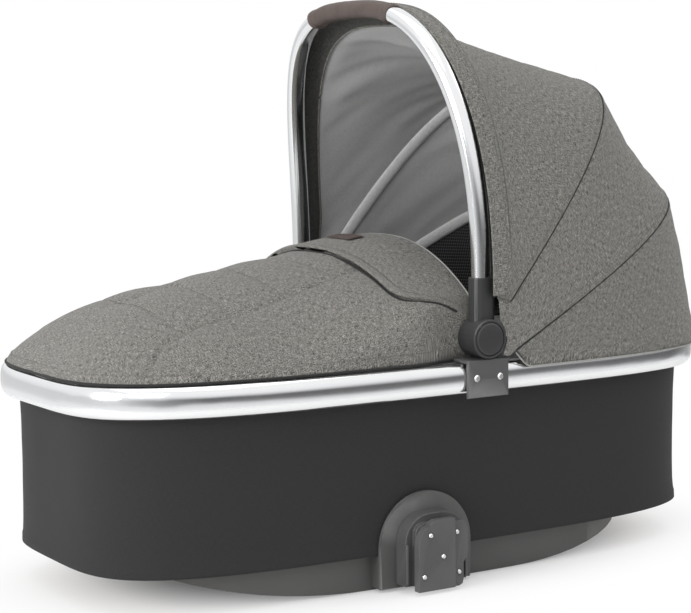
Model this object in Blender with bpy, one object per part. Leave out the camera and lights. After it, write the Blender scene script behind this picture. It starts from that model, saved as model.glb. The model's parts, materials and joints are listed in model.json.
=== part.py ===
"""A pram carrycot, as an assembly of its separate pieces.

Metres, +Z up. +X points to the head end, under the hood, and -Y is the near side.
The origin is the middle of the overall box, on the floor. The carry handle, the two
hood ribs and the hood cloth turn about one axis through the two side joints.
"""

import math

import bmesh
import bpy
from mathutils import Matrix, Vector

# Clearance between two touching pieces, and the overrun that a cutter or a fused piece has.
TOUCH = 0.0003
OVERRUN = 0.002

# Rail: a chromed oval tube bent to one loop, in two halves that meet inside the side clamps.
RAIL_LENGTH = 0.8265
RAIL_WIDTH = 0.410
RAIL_SQUARENESS = 3.76
RAIL_BOTTOM = 0.207
RAIL_HEIGHT = 0.034
RAIL_THICKNESS = 0.019
RAIL_TUBE_WALL = 0.0015
RAIL_SECTION_SQUARENESS = 2.6
RAIL_SIDES = 12
LOOP_COUNT = 48

# Hood cloth, and how far its hem hangs outside the rail.
CLOTH = 0.002
HEM_GAP = 0.0015
HEM_DROP = 0.008

# Tub: a cloth wall on a stiff floor board, with a lining and end stays between the two.
TUB_BOTTOM = 0.0405
TUB_WALL = 0.0042
TUB_WAIST = 0.0012
TUB_WAIST_LOW = 0.085
TUB_WAIST_HIGH = 0.160
TUB_RISE = 0.029
BOARD_THICKNESS = 0.005
STAY_WIRE = 0.006
STAY_ROOM = 0.0012
STAY_TOP = 0.200
STAY_REACH = 0.120
STAY_BEND = 0.018
STAY_SIDES = 6
SOCKET_LENGTH = 0.010
SOCKET_HEIGHT = 0.007
LINER_THICKNESS = 0.004
LINER_LIP = 0.0033
LINER_LIP_DROP = 0.012
MATTRESS_GAP = 0.003
MATTRESS_THICKNESS = 0.032
MATTRESS_CROWN = 0.006
MATTRESS_ROUND = 0.007
MATTRESS_CROWN_INSET = 0.055

# Rocker base: a moulded tray with a flat middle and an arc to each end.
BASE_CLEARANCE = 0.0003
BASE_INSET = 0.033
BASE_SQUARENESS = 4.0
BASE_PLATE = 0.003
BASE_WALL = 0.014
BASE_RIB = 0.008
BASE_RIB_LIFT = 0.010
BASE_EDGE = 0.003
FLAT_FOOT = -0.100
FLAT_HEAD = 0.090
ROCKER_FOOT_RADIUS = 0.750
ROCKER_HEAD_RADIUS = 0.610
ROCKER_STEPS = 9
RIB_SHARES = (0.18, 0.36, 0.54, 0.72, 0.88)
BASE_OUTLINE_COUNT = 32

# Arched boss on each side of the base, outside the cloth wall.
BOSS_X = -0.040
BOSS_HALF_WIDTH = 0.0585
BOSS_TOP = 0.105
BOSS_BOTTOM = 0.003
BOSS_CLEARANCE = 0.0006
BOSS_THICKNESS = 0.0053
BOSS_EDGE = 0.0015
BOSS_ARC_STEPS = 12

# Chassis adaptor: a block on the boss, a narrower neck, and a plate in front of the neck.
BLOCK_HALF_WIDTH = 0.0395
BLOCK_TOP = 0.085
BLOCK_BOTTOM = 0.008
BLOCK_DEPTH = 0.0185
BLOCK_ROUND = 0.031
BLOCK_LIP = 0.0025
BLOCK_LIP_WIDTH = 0.003
NECK_HALF_WIDTH = 0.0300
NECK_TOP = 0.076
SLOT_DEPTH = 0.0056
PLATE_FOOT_EDGE = -0.072
PLATE_WIDTH = 0.065
PLATE_BOTTOM = 0.004
PLATE_HEIGHT = 0.076
PLATE_THICKNESS = 0.009
PLATE_RECESS = 0.0030
PLATE_RECESS_SHARE = 0.723
PLATE_OUTLINE_SHARES = (
    (0.00, 0.00), (0.83, 0.00), (0.90, 0.03), (0.915, 0.09), (0.915, 0.33),
    (1.00, 0.42), (1.00, 0.86), (0.96, 0.91), (0.88, 0.945), (0.73, 0.95),
    (0.72, 1.00), (0.34, 1.00), (0.24, 0.965), (0.21, 0.925), (0.14, 0.905),
    (0.05, 0.82), (0.00, 0.70),
)
PLATE_RIVET_SHARES = ((0.24, 0.79), (0.79, 0.78), (0.49, 0.467), (0.11, 0.21), (0.83, 0.20))

# Rivets and screws.
RIVET_HEAD = 0.0030
RIVET_RISE = 0.0014
RIVET_SHANK = 0.0016
RIVET_HOLE = 0.0019
RIVET_SEAT_DEPTH = 0.0005
RIVET_SEAT_GAP = 0.0004
RIVET_SIDES = 8
CLAMP_RIVET_HEAD = 0.0042
CLAMP_RIVET_SPACING = 0.031
CLAMP_RIVET_HEIGHT = 0.018
CLAMP_RIVET_DEPTH = 0.007
SCREW_HEAD = 0.0045
SCREW_HEAD_HEIGHT = 0.0022
SCREW_SHANK = 0.0020
SCREW_HOLE = 0.0023
SCREW_SIDES = 8
SCREW_X_SHARES = (-0.36, 0.36)
SCREW_Y_SHARE = 0.30

# Side joint: clamp on the rail, the two rib eyelets, then the arm of the carry handle.
PIVOT_X = 0.031
ARM_GAP = 0.001
CLAMP_LENGTH = 0.054
CLAMP_CHEEK = 0.004
CLAMP_BRIDGE = 0.0032
CLAMP_DROP = 0.0035
CLAMP_EDGE = 0.0012
HOUSING_RADIUS = 0.022
HOUSING_INSET = 0.0370
HOUSING_THICKNESS = 0.0065
HOUSING_WEB = 0.036
PIN_RADIUS = 0.004
PIN_CLEARANCE = 0.0003
PIN_HEAD_RADIUS = 0.0065
PIN_HEAD_THICKNESS = 0.0015
PIN_END_COVER = 0.0015
PIN_SIDES = 12
EYELET_RADIUS = 0.010
EYELET_THICKNESS = 0.003
EYELET_GAP = 0.0005
EYELET_SIDES = 16
ARM_RADIUS = 0.0215
ARM_OUTSET = 0.0075
ARM_EDGE = 0.0012
ARM_SIDES = 24
SLEEVE_LENGTH = 0.028
SLEEVE_WIDTH = 0.022
SLEEVE_RISE = 0.066
SLEEVE_SQUARENESS = 2.9
SLEEVE_SIDES = 16
SOCKET_DEPTH = 0.030
BUTTON_RADIUS = 0.0180
BUTTON_CLEARANCE = 0.0006
BUTTON_THICKNESS = 0.0085
BUTTON_PROUD = 0.0010
BUTTON_DOME = 0.0008
BUTTON_EDGE = 0.0015
BUTTON_SPIGOT_RADIUS = 0.0048
BUTTON_SPIGOT_HEIGHT = 0.0010
BUTTON_TRAVEL = 0.004
BUTTON_FLOOR_GAP = 0.0015
SPRING_WIRE = 0.0010
SPRING_RADIUS = 0.0068
SPRING_TURNS = 2.5
SPRING_POINTS = 10
SPRING_SIDES = 6

# Carry handle: a flat-oval hoop that leans to the foot end, with a leather grip on top.
HOOP_FOOT_AHEAD = 0.002
HOOP_INSET = 0.012
HOOP_LIFT = 0.063
HOOP_RISE = 0.298
HOOP_LEAN_TOP = 0.042
HOOP_NARROWING_SHARE = 0.0115
HOOP_SQUARENESS = 2.96
HOOP_DEPTH = 0.022
HOOP_THICKNESS = 0.018
HOOP_TUBE_WALL = 0.0015
HOOP_SECTION_SQUARENESS = 2.4
HOOP_SIDES = 12
HOOP_COUNT = 28
HOOP_CLEARANCE = 0.0005
GRIP_HALF_LENGTH = 0.083
GRIP_THICKNESS = 0.0018
GRIP_CUFF = 0.0008
GRIP_CUFF_LENGTH = 0.008

# Hood: reach and half width of the cloth over each rib, its rib angle and its folded turn.
MID_RIB_ANGLE = math.radians(51.0)
REAR_RIB_ANGLE = math.radians(29.0)
MID_RIB_REACH = 0.362
REAR_RIB_REACH = 0.366
MID_RIB_CRANK = 0.0
REAR_RIB_CRANK = 0.030
MID_RIB_OUTSET = 0.003
REAR_RIB_OUTSET = 0.0075
BOW_SQUARENESS = 3.6
BOW_COUNT = 24
MID_BOW_START = 0.050
REAR_BOW_START = 0.012
HEM_START = 0.044
LINING_START = 0.135
LINING_THICKNESS = 0.001
LINING_HEM_INSET = 0.010
LINING_HEM_LIFT = 0.0045
RIB_INSET = 0.0039
RIB_THICKNESS = 0.0025
RIB_WIDTH = 0.007
RIB_JOGGLE_START = 0.066
RIB_JOGGLE_END = 0.125
RIB_ROOT = 0.0065
LINING_INSET = 0.0072
PANEL_ROW_SHARES = (0.0, 0.12, 0.42, 0.72, 1.0)
LINING_ROW_SHARES = (0.0, 0.12, 0.50, 1.0)
HOOD_TOP_ROUND = 0.002
SEAM_GAP = 0.0009
BAND_SEAM_GAP = 0.0024
FRONT_SAG = 0.004
FRONT_DIP = 0.020
MID_SAG = 0.010
REAR_BULGE = 0.003
BAND_STANDOFF = 0.0155
BAND_TOP_STANDOFF = 0.0070
BAND_START = 0.0115
BAND_TOP_GAP = 0.0036
BAND_WIDTH = 0.0205
BAND_FOOT_RISE = 0.042

# Apron: a padded cover from the foot end to the handle, with its head end folded over.
APRON_INSET = 0.0115
APRON_FOOT_INSET = 0.0045
APRON_LIP = 0.005
APRON_CLOTH = 0.004
APRON_RISE = 0.112
APRON_RISE_POWER = 0.58
APRON_LEVEL_POWER = 1.6
APRON_END = 0.026
APRON_SIDE_END = 0.000
APRON_KNEE = -0.220
APRON_SPINE_END = -0.300
APRON_SIDE_START = -0.200
APRON_SIDE_FULL = 0.020
APRON_DROOP_SHARE = 0.50
APRON_DROOP_POWER = 2.9
APRON_EDGE_POWER = 20.0
APRON_END_POWER = 6.0
APRON_STATIONS = 18
APRON_ROW_COUNT = 9
FLAP_INSET = 0.0145
FLAP_FREE_EDGE = -0.072
FLAP_FREE_SLANT = 0.008
FLAP_FREE_CURVE = 0.040
FLAP_FREE_POWER = 7.0
FLAP_FOLD = 0.031
FLAP_FOLD_SIDE = 0.017
FLAP_GAP = 0.0010
FLAP_EDGE_THICKNESS = 0.005
FLAP_FOLD_THICKNESS = 0.007
FLAP_ROW_COUNT = 18
FLAP_COLUMN_COUNT = 6
PATCH_LENGTH = 0.050
PATCH_DEPTH = 0.020
PATCH_THICKNESS = 0.0012
PATCH_X = -0.022
PATCH_STEPS = 4

# Sizes that follow from the ones above.
HEM_REACH = HEM_GAP + CLOTH
RAIL_X = -HEM_REACH / 2
RAIL_HALF_LENGTH = RAIL_LENGTH / 2
RAIL_HALF_WIDTH = RAIL_WIDTH / 2
BASE_WIDTH = RAIL_WIDTH - 2 * BASE_INSET
HOUSING_INNER = RAIL_HALF_WIDTH - HOUSING_INSET
ARM_OUTER = RAIL_HALF_WIDTH + ARM_OUTSET
HOOP_HALF_WIDTH = RAIL_HALF_WIDTH - HOOP_INSET
MID_RIB_HALF_WIDTH = RAIL_HALF_WIDTH + MID_RIB_OUTSET
REAR_RIB_HALF_WIDTH = RAIL_HALF_WIDTH + REAR_RIB_OUTSET
RAIL_TOP = RAIL_BOTTOM + RAIL_HEIGHT
RAIL_MIDDLE = RAIL_BOTTOM + RAIL_HEIGHT / 2
TUB_INSET = RAIL_THICKNESS + TOUCH
TUB_TOP = RAIL_BOTTOM + TUB_RISE
STAY_INSET = TUB_INSET + TUB_WALL + STAY_ROOM + STAY_WIRE / 2
LINER_INSET = STAY_INSET + STAY_WIRE / 2 + STAY_ROOM
BOARD_INSET = TUB_INSET + TUB_WALL + TOUCH
BOARD_TOP = TUB_BOTTOM + BOARD_THICKNESS
LINER_TOP = RAIL_TOP - 4 * TOUCH
MATTRESS_INSET = LINER_INSET + LINER_THICKNESS + MATTRESS_GAP
BASE_TOP = TUB_BOTTOM - BASE_CLEARANCE
TUB_HALF_WIDTH = RAIL_HALF_WIDTH - TUB_INSET
BOSS_INNER = TUB_HALF_WIDTH + BOSS_CLEARANCE
BOSS_OUTER = BOSS_INNER + BOSS_THICKNESS
BLOCK_INNER = BOSS_OUTER + TOUCH
BLOCK_OUTER = BLOCK_INNER + BLOCK_DEPTH
PLATE_INNER = BLOCK_OUTER + SLOT_DEPTH + TOUCH
PLATE_OUTER = PLATE_INNER + PLATE_THICKNESS
CLAMP_INNER = RAIL_HALF_WIDTH + TOUCH
CLAMP_OUTER = CLAMP_INNER + CLAMP_CHEEK
CLAMP_TOP = RAIL_TOP + TOUCH + CLAMP_BRIDGE
PIVOT_HEIGHT = CLAMP_TOP + ARM_GAP + ARM_RADIUS
PIVOT = Vector((PIVOT_X, 0.0, PIVOT_HEIGHT))
SLEEVE_TOP = PIVOT_HEIGHT + SLEEVE_RISE
HOOP_START = PIVOT_HEIGHT + HOOP_LIFT
BAND_FOOT = PIVOT_HEIGHT + BAND_FOOT_RISE
REAR_EYELET_INNER = HOUSING_INNER + HOUSING_THICKNESS + EYELET_GAP
MID_EYELET_INNER = REAR_EYELET_INNER + EYELET_THICKNESS + EYELET_GAP
ARM_INNER = MID_EYELET_INNER + EYELET_THICKNESS + EYELET_GAP
BUTTON_FACE = ARM_OUTER + BUTTON_PROUD
BUTTON_BACK = BUTTON_FACE - BUTTON_THICKNESS
RECESS_FLOOR = BUTTON_BACK - BUTTON_TRAVEL - BUTTON_FLOOR_GAP
PIN_END = RECESS_FLOOR - PIN_END_COVER - TOUCH
BORE_RADIUS = PIN_RADIUS + PIN_CLEARANCE
HOOP_X = PIVOT_X + HOOP_FOOT_AHEAD
HOOP_END = SLEEVE_TOP - SOCKET_DEPTH
SPRING_START = RECESS_FLOOR + TOUCH
SPRING_END = BUTTON_BACK - TOUCH
APRON_HEM = RAIL_TOP + TOUCH
APRON_HALF_LENGTH = RAIL_HALF_LENGTH - APRON_FOOT_INSET
APRON_HALF_WIDTH = RAIL_HALF_WIDTH - APRON_INSET
APRON_TIP = RAIL_X - APRON_HALF_LENGTH
FLAP_HALF_WIDTH = APRON_HALF_WIDTH - FLAP_INSET
HEM_HEIGHT = RAIL_TOP - HEM_DROP

# Finishes: colour, roughness and metallic value.
CHROME = ((0.86, 0.87, 0.88), 0.08, 1.0)
BRIGHT_STEEL = ((0.75, 0.75, 0.74), 0.25, 1.0)
SPRING_STEEL = ((0.45, 0.46, 0.47), 0.35, 1.0)
BASE_PLASTIC = ((0.105, 0.105, 0.103), 0.48, 0.0)
JOINT_PLASTIC = ((0.060, 0.060, 0.064), 0.45, 0.0)
HOOD_CLOTH = ((0.180, 0.177, 0.160), 0.92, 0.0)
TUB_CLOTH = ((0.036, 0.036, 0.036), 0.90, 0.0)
LINING_CLOTH = ((0.165, 0.165, 0.165), 0.70, 0.0)
MATTRESS_CLOTH = ((0.62, 0.62, 0.60), 0.90, 0.0)
LEATHER = ((0.095, 0.072, 0.066), 0.55, 0.0)
BOARD = ((0.26, 0.19, 0.12), 0.80, 0.0)


def clear_scene():
    for item in list(bpy.data.objects):
        bpy.data.objects.remove(item, do_unlink=True)


def new_material(name, finish):
    colour, roughness, metallic = finish
    material = bpy.data.materials.new(name)
    material.use_nodes = True
    shader = material.node_tree.nodes["Principled BSDF"]
    shader.inputs["Base Color"].default_value = (*colour, 1.0)
    shader.inputs["Roughness"].default_value = roughness
    shader.inputs["Metallic"].default_value = metallic
    return material


def new_axis(name, place, parent=None):
    axis = bpy.data.objects.new(name, None)
    bpy.context.collection.objects.link(axis)
    axis.location = place
    if parent is not None:
        axis.parent = parent
        axis.matrix_parent_inverse = Matrix.Translation(-PIVOT)
    return axis


def add_object(name, bm, origin=None):
    bmesh.ops.remove_doubles(bm, verts=bm.verts, dist=TOUCH / 30)
    bmesh.ops.recalc_face_normals(bm, faces=bm.faces)
    if origin is not None:
        bmesh.ops.translate(bm, verts=bm.verts, vec=-origin)
    mesh = bpy.data.meshes.new(name)
    bm.to_mesh(mesh)
    bm.free()
    item = bpy.data.objects.new(name, mesh)
    bpy.context.collection.objects.link(item)
    if origin is not None:
        item.location = origin
    return item


def add_piece(name, bm, finish, axis=None, origin=None, crease=40.0):
    """One piece of the product: a node, carried by the axis that it turns about."""
    item = add_object(name, bm, origin)
    item.data.materials.append(new_material(name, finish))
    item.data.shade_smooth()
    item.data.set_sharp_from_angle(angle=math.radians(crease))
    if axis is not None:
        item.parent = axis
        item.matrix_parent_inverse = Matrix.Translation(-PIVOT)
    return item


def add_guide(name, bm):
    guide = add_object(name, bm)
    guide.hide_render = True
    guide.display_type = "WIRE"
    return guide


def boolean(target, bm, operation):
    guide = add_guide(f"{target.name}_{operation.lower()}_{len(target.modifiers)}", bm)
    modifier = target.modifiers.new(guide.name, "BOOLEAN")
    modifier.operation = operation
    modifier.solver = "EXACT"
    modifier.object = guide


def loft(rings, wrap=False):
    """A closed skin through rings of equal length. A wrapped skin has no end caps."""
    bm = bmesh.new()
    rows = [[bm.verts.new(point) for point in ring] for ring in rings]
    pairs = list(zip(rows, rows[1:]))
    if wrap:
        pairs.append((rows[-1], rows[0]))
    for low, high in pairs:
        for k in range(len(low)):
            after = (k + 1) % len(low)
            bm.faces.new((low[k], low[after], high[after], high[k]))
    if not wrap:
        bm.faces.new(rows[0])
        bm.faces.new(rows[-1])
    return bm


def prism(outline, low, high, place):
    """An outline of 2D points swept from low to high; place puts each point in space."""
    return loft([[place(u, v, level) for u, v in outline] for level in (low, high)])


def block(low, high):
    size = Vector(high) - Vector(low)
    middle = (Vector(high) + Vector(low)) / 2
    bm = bmesh.new()
    matrix = Matrix.Translation(middle) @ Matrix.Diagonal((*size, 1.0))
    bmesh.ops.create_cube(bm, size=1.0, matrix=matrix)
    return bm


def merge(parts):
    """Several closed bodies in one mesh, none of which touch."""
    whole = bmesh.new()
    for part in parts:
        mesh = bpy.data.meshes.new("merged")
        part.to_mesh(mesh)
        part.free()
        whole.from_mesh(mesh)
        bpy.data.meshes.remove(mesh)
    return whole


def turned(profile, centre, side, count, wrap=False):
    """A piece turned about Y: profile holds (radius, distance from the middle plane)."""
    rings = []
    for radius, reach in profile:
        ring = []
        for k in range(count):
            turn = math.tau * k / count
            x = centre.x + radius * math.cos(turn)
            z = centre.z + radius * math.sin(turn)
            ring.append(Vector((x, side * reach, z)))
        rings.append(ring)
    return loft(rings, wrap)


def oval(width, height, squareness, count):
    points = []
    for k in range(count):
        turn = math.tau * k / count
        c, s = math.cos(turn), math.sin(turn)
        u = math.copysign(abs(c) ** (2 / squareness), c) * width / 2
        v = math.copysign(abs(s) ** (2 / squareness), s) * height / 2
        points.append((u, v))
    return points


def resample(points, count):
    """Spreads count + 1 points along a fine polyline, closer together where it bends."""
    steps = [b - a for a, b in zip(points, points[1:])]
    lengths = [step.length for step in steps]
    turns = [a.angle(b, 0.0) for a, b in zip(steps, steps[1:])]
    total_length = sum(lengths)
    total_turn = sum(turns)
    weights = []
    for k, length in enumerate(lengths):
        before = turns[k - 1] if k > 0 else 0.0
        after = turns[k] if k < len(turns) else 0.0
        weights.append(length / total_length + (before + after) / 2 / total_turn)
    total = sum(weights)
    result = [points[0]]
    walked = 0.0
    k = 0
    for n in range(1, count):
        target = total * n / count
        while walked + weights[k] < target:
            walked += weights[k]
            k += 1
        share = (target - walked) / weights[k]
        result.append(points[k].lerp(points[k + 1], share))
    result.append(points[-1])
    return result


def outline_point(angle):
    c, s = math.cos(angle), math.sin(angle)
    x = math.copysign(abs(c) ** (2 / RAIL_SQUARENESS), c) * RAIL_HALF_LENGTH
    y = math.copysign(abs(s) ** (2 / RAIL_SQUARENESS), s) * RAIL_HALF_WIDTH
    return Vector((x, y, 0.0))


def outline_normal(point):
    power = RAIL_SQUARENESS - 1
    x = math.copysign(abs(point.x / RAIL_HALF_LENGTH) ** power, point.x) / RAIL_HALF_LENGTH
    y = math.copysign(abs(point.y / RAIL_HALF_WIDTH) ** power, point.y) / RAIL_HALF_WIDTH
    return Vector((x, y, 0.0)).normalized()


def rail_stations():
    """Points round the rail's outer edge with their outward normals, from the head end."""
    fine = 1440
    quarter = [outline_point(math.pi / 2 * k / fine) for k in range(fine + 1)]
    near = resample(quarter, LOOP_COUNT // 4)
    half = near + [Vector((-p.x, p.y, 0.0)) for p in reversed(near[:-1])]
    whole = half + [Vector((p.x, -p.y, 0.0)) for p in reversed(half[1:-1])]
    return [(point, outline_normal(point)) for point in whole]


STATIONS = rail_stations()


def plan_ring(inset, height):
    """The rail's outline, drawn in by inset, at one height."""
    ring = []
    for point, normal in STATIONS:
        place = point - normal * inset
        ring.append(Vector((place.x + RAIL_X, place.y, height)))
    return ring


def plan_run(inset, height, first_x, last_side_x):
    """The outline from first_x on the -Y side round the head end to the +Y side."""
    fine = 720
    points = []
    for k in range(fine + 1):
        point = outline_point(-math.pi / 2 + math.pi * k / fine)
        place = point - outline_normal(point) * inset
        place = Vector((place.x + RAIL_X, place.y, height))
        limit = first_x if place.y < 0.0 else last_side_x
        if place.x >= limit:
            points.append(place)
    return points


def rail_ring(frame, section):
    middle, normal = frame
    return [middle + normal * u + Vector((0.0, 0.0, v)) for u, v in section]


def rail_half(name, direction):
    """One half of the rail: direction is 1 for the head end and -1 for the foot end."""
    cut = PIVOT_X + direction * TOUCH / 2
    half_inset = RAIL_THICKNESS / 2
    count = len(STATIONS)
    shift = 0 if direction < 0 else count // 2
    frames = []
    previous = None
    for k in range(count + 1):
        point, normal = STATIONS[(k + shift) % count]
        middle = point - normal * half_inset + Vector((RAIL_X, 0.0, RAIL_MIDDLE))
        inside = (middle.x - cut) * direction > 0.0
        if previous is not None and inside != previous[1]:
            share = (cut - previous[0].x) / (middle.x - previous[0].x)
            end = previous[0].lerp(middle, share)
            frames.append((end, Vector((0.0, math.copysign(1.0, end.y), 0.0))))
        if inside:
            frames.append((middle, normal))
        previous = (middle, inside)
    outer = oval(RAIL_THICKNESS, RAIL_HEIGHT, RAIL_SECTION_SQUARENESS, RAIL_SIDES)
    bore_width = RAIL_THICKNESS - 2 * RAIL_TUBE_WALL
    bore_height = RAIL_HEIGHT - 2 * RAIL_TUBE_WALL
    bore = oval(bore_width, bore_height, RAIL_SECTION_SQUARENESS, RAIL_SIDES)
    rings = [rail_ring(frame, outer) for frame in frames]
    rings += [rail_ring(frame, bore) for frame in reversed(frames)]
    rail = add_piece(name, loft(rings, wrap=True), CHROME)
    boolean(rail, merge([clamp_rivet_hole(side, direction) for side in (-1, 1)]), "DIFFERENCE")
    return rail


def clamp_rivet_place(side, direction):
    x = PIVOT_X + direction * CLAMP_RIVET_SPACING / 2
    return Vector((x, side * CLAMP_OUTER, RAIL_BOTTOM + CLAMP_RIVET_HEIGHT))


def clamp_rivet_hole(side, direction):
    place = clamp_rivet_place(side, direction)
    reach = CLAMP_OUTER - CLAMP_RIVET_DEPTH - TOUCH
    profile = ((RIVET_HOLE, reach), (RIVET_HOLE, CLAMP_OUTER + OVERRUN))
    return turned(profile, place, side, RIVET_SIDES)


def rivet(place, side, head, depth):
    """A domed rivet head that lies on a face, with its shank behind it."""
    seat = abs(place.y) + TOUCH
    profile = (
        (RIVET_SHANK, seat - depth), (RIVET_SHANK, seat), (head, seat),
        (head * 0.65, seat + RIVET_RISE),
    )
    return turned(profile, place, side, RIVET_SIDES)


def make_tub():
    wall = [
        plan_ring(TUB_INSET, TUB_BOTTOM),
        plan_ring(TUB_INSET + TUB_WAIST, TUB_WAIST_LOW),
        plan_ring(TUB_INSET + TUB_WAIST, TUB_WAIST_HIGH),
        plan_ring(TUB_INSET, RAIL_BOTTOM),
        plan_ring(TUB_INSET, TUB_TOP),
        plan_ring(TUB_INSET + TUB_WALL, TUB_TOP),
        plan_ring(TUB_INSET + TUB_WALL, TUB_BOTTOM),
    ]
    add_piece("tub_wall", loft(wall, wrap=True), TUB_CLOTH)
    board = add_piece(
        "base_board",
        loft([plan_ring(BOARD_INSET, TUB_BOTTOM), plan_ring(BOARD_INSET, BOARD_TOP)]),
        BOARD,
    )
    boolean(board, merge([screw_hole(place) for place in screw_places()]), "DIFFERENCE")
    inner = LINER_INSET + LINER_THICKNESS
    lip = TUB_INSET + TUB_WALL + LINER_LIP - LINER_THICKNESS + TOUCH * 3
    liner = [
        plan_ring(LINER_INSET, BOARD_TOP + TOUCH),
        plan_ring(LINER_INSET, LINER_TOP - LINER_LIP_DROP),
        plan_ring(lip, LINER_TOP - LINER_LIP),
        plan_ring(lip, LINER_TOP),
        plan_ring(inner, LINER_TOP),
        plan_ring(inner, BOARD_TOP + TOUCH),
    ]
    add_piece("liner", loft(liner, wrap=True), LINING_CLOTH)
    floor = BOARD_TOP + TOUCH
    top = floor + MATTRESS_THICKNESS
    mattress = [
        plan_ring(MATTRESS_INSET + MATTRESS_ROUND, floor),
        plan_ring(MATTRESS_INSET + MATTRESS_ROUND / 4, floor + MATTRESS_ROUND / 2),
        plan_ring(MATTRESS_INSET, floor + MATTRESS_THICKNESS / 2),
        plan_ring(MATTRESS_INSET + MATTRESS_ROUND / 4, top - MATTRESS_ROUND / 2),
        plan_ring(MATTRESS_INSET + MATTRESS_ROUND, top),
        plan_ring(MATTRESS_INSET + MATTRESS_CROWN_INSET, top + MATTRESS_CROWN),
    ]
    add_piece("mattress", loft(mattress), MATTRESS_CLOTH, crease=60.0)


def stay_path(direction):
    """Up one leg, round under the rail and down the other, for the end at direction."""
    fine = 240
    limit = STAY_REACH
    run = []
    for k in range(fine + 1):
        point = outline_point(-math.pi / 2 + math.pi * k / fine)
        place = point - outline_normal(point) * STAY_INSET
        if abs(place.y) <= limit:
            run.append(Vector((direction * place.x + RAIL_X, place.y, STAY_TOP)))
    run = resample(run, 10)
    foot = BOARD_TOP + TOUCH + SOCKET_HEIGHT + TOUCH
    path = []
    for end, after in ((run[0], run[1]), (run[-1], run[-2])):
        along = (after - end).normalized()
        leg = [Vector((end.x, end.y, foot)), Vector((end.x, end.y, STAY_TOP - STAY_BEND))]
        for k in range(1, 4):
            turn = math.pi / 2 * k / 4
            rise = STAY_TOP - STAY_BEND + STAY_BEND * math.sin(turn)
            shift = STAY_BEND * (1 - math.cos(turn))
            leg.append(Vector((end.x, end.y, rise)) + along * shift)
        path.append(leg)
    middle = [p for p in run[1:-1] if min((p - run[0]).length, (p - run[-1]).length) > STAY_BEND]
    return path[0] + middle + list(reversed(path[1]))


def tube(path, radius, sides):
    """A round wire along a path, its section kept square to the path."""
    rings = []
    normal = None
    for k, point in enumerate(path):
        before = path[max(k - 1, 0)]
        after = path[min(k + 1, len(path) - 1)]
        along = (after - before).normalized()
        if normal is None:
            normal = along.orthogonal().normalized()
        normal = (normal - along * normal.dot(along)).normalized()
        other = along.cross(normal)
        ring = []
        for n in range(sides):
            turn = math.tau * n / sides
            ring.append(point + radius * (normal * math.cos(turn) + other * math.sin(turn)))
        rings.append(ring)
    return loft(rings)


def make_stays():
    for name, direction in (("foot", -1), ("head", 1)):
        path = stay_path(direction)
        add_piece(f"{name}_stay", tube(path, STAY_WIRE / 2, STAY_SIDES), BRIGHT_STEEL)
        ends = (("right", path[0], path[3]), ("left", path[-1], path[-4]))
        for side, foot, after in ends:
            along = Vector((after.x - foot.x, after.y - foot.y, 0.0)).normalized()
            across = Vector((-along.y, along.x, 0.0))
            ring = []
            for u, v in ((-1, -1), (1, -1), (1, 1), (-1, 1)):
                corner = along * (u * SOCKET_LENGTH / 2) + across * (v * STAY_WIRE / 2)
                ring.append(Vector((foot.x, foot.y, 0.0)) + corner)
            levels = (BOARD_TOP + TOUCH, BOARD_TOP + TOUCH + SOCKET_HEIGHT)
            rings = [[p + Vector((0.0, 0.0, z)) for p in ring] for z in levels]
            add_piece(f"stay_socket_{name}_{side}", loft(rings), JOINT_PLASTIC)


def rocker_height(x):
    """Height of the base's underside above the floor."""
    if x < FLAT_FOOT:
        radius, away = ROCKER_FOOT_RADIUS, FLAT_FOOT - x
    elif x > FLAT_HEAD:
        radius, away = ROCKER_HEAD_RADIUS, x - FLAT_HEAD
    else:
        return 0.0
    return radius - math.sqrt(radius ** 2 - away ** 2)


def rocker_reach(radius):
    """How far past the flat an arc goes before it meets the tray's plate."""
    rise = BASE_TOP - BASE_PLATE
    return math.sqrt(2 * radius * rise - rise ** 2)


BASE_FOOT = FLAT_FOOT - rocker_reach(ROCKER_FOOT_RADIUS)
BASE_HEAD = FLAT_HEAD + rocker_reach(ROCKER_HEAD_RADIUS)
BASE_MIDDLE = (BASE_FOOT + BASE_HEAD) / 2
BASE_HALF_LENGTH = (BASE_HEAD - BASE_FOOT) / 2
BASE_HALF_WIDTH = BASE_WIDTH / 2


def base_half_width(x, inset):
    """Half width of the base's plan outline, drawn in by inset, at x."""
    share = abs(x - BASE_MIDDLE) / (BASE_HALF_LENGTH - inset)
    if share >= 1.0:
        return 0.0
    rest = 1 - share ** BASE_SQUARENESS
    return (BASE_HALF_WIDTH - inset) * rest ** (1 / BASE_SQUARENESS)


def base_outline(inset, first, last, count):
    """Plan outline of the base between two values of x, both sides."""
    low = max(first, BASE_MIDDLE - BASE_HALF_LENGTH + inset)
    high = min(last, BASE_MIDDLE + BASE_HALF_LENGTH - inset)
    near = []
    for k in range(count + 1):
        x = low + (high - low) * (1 - math.cos(math.pi * k / count)) / 2
        near.append((x, -base_half_width(x, inset)))
    far = [(x, -y) for x, y in reversed(near)]
    ring = []
    for point in near + far:
        if not ring or math.dist(point, ring[-1]) > TOUCH:
            ring.append(point)
    if math.dist(ring[0], ring[-1]) < TOUCH:
        ring.pop()
    return ring


def screw_places():
    places = []
    for share in SCREW_X_SHARES:
        for side in (-1, 1):
            x = BASE_MIDDLE + share * BASE_HALF_LENGTH
            places.append(Vector((x, side * SCREW_Y_SHARE * BASE_WIDTH, BASE_TOP - BASE_PLATE)))
    return places


def upright(profile, place, count):
    """A piece turned about Z: profile holds (radius, height)."""
    rings = []
    for radius, height in profile:
        ring = []
        for k in range(count):
            turn = math.tau * k / count
            x = place.x + radius * math.cos(turn)
            y = place.y + radius * math.sin(turn)
            ring.append(Vector((x, y, height)))
        rings.append(ring)
    return loft(rings)


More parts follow.
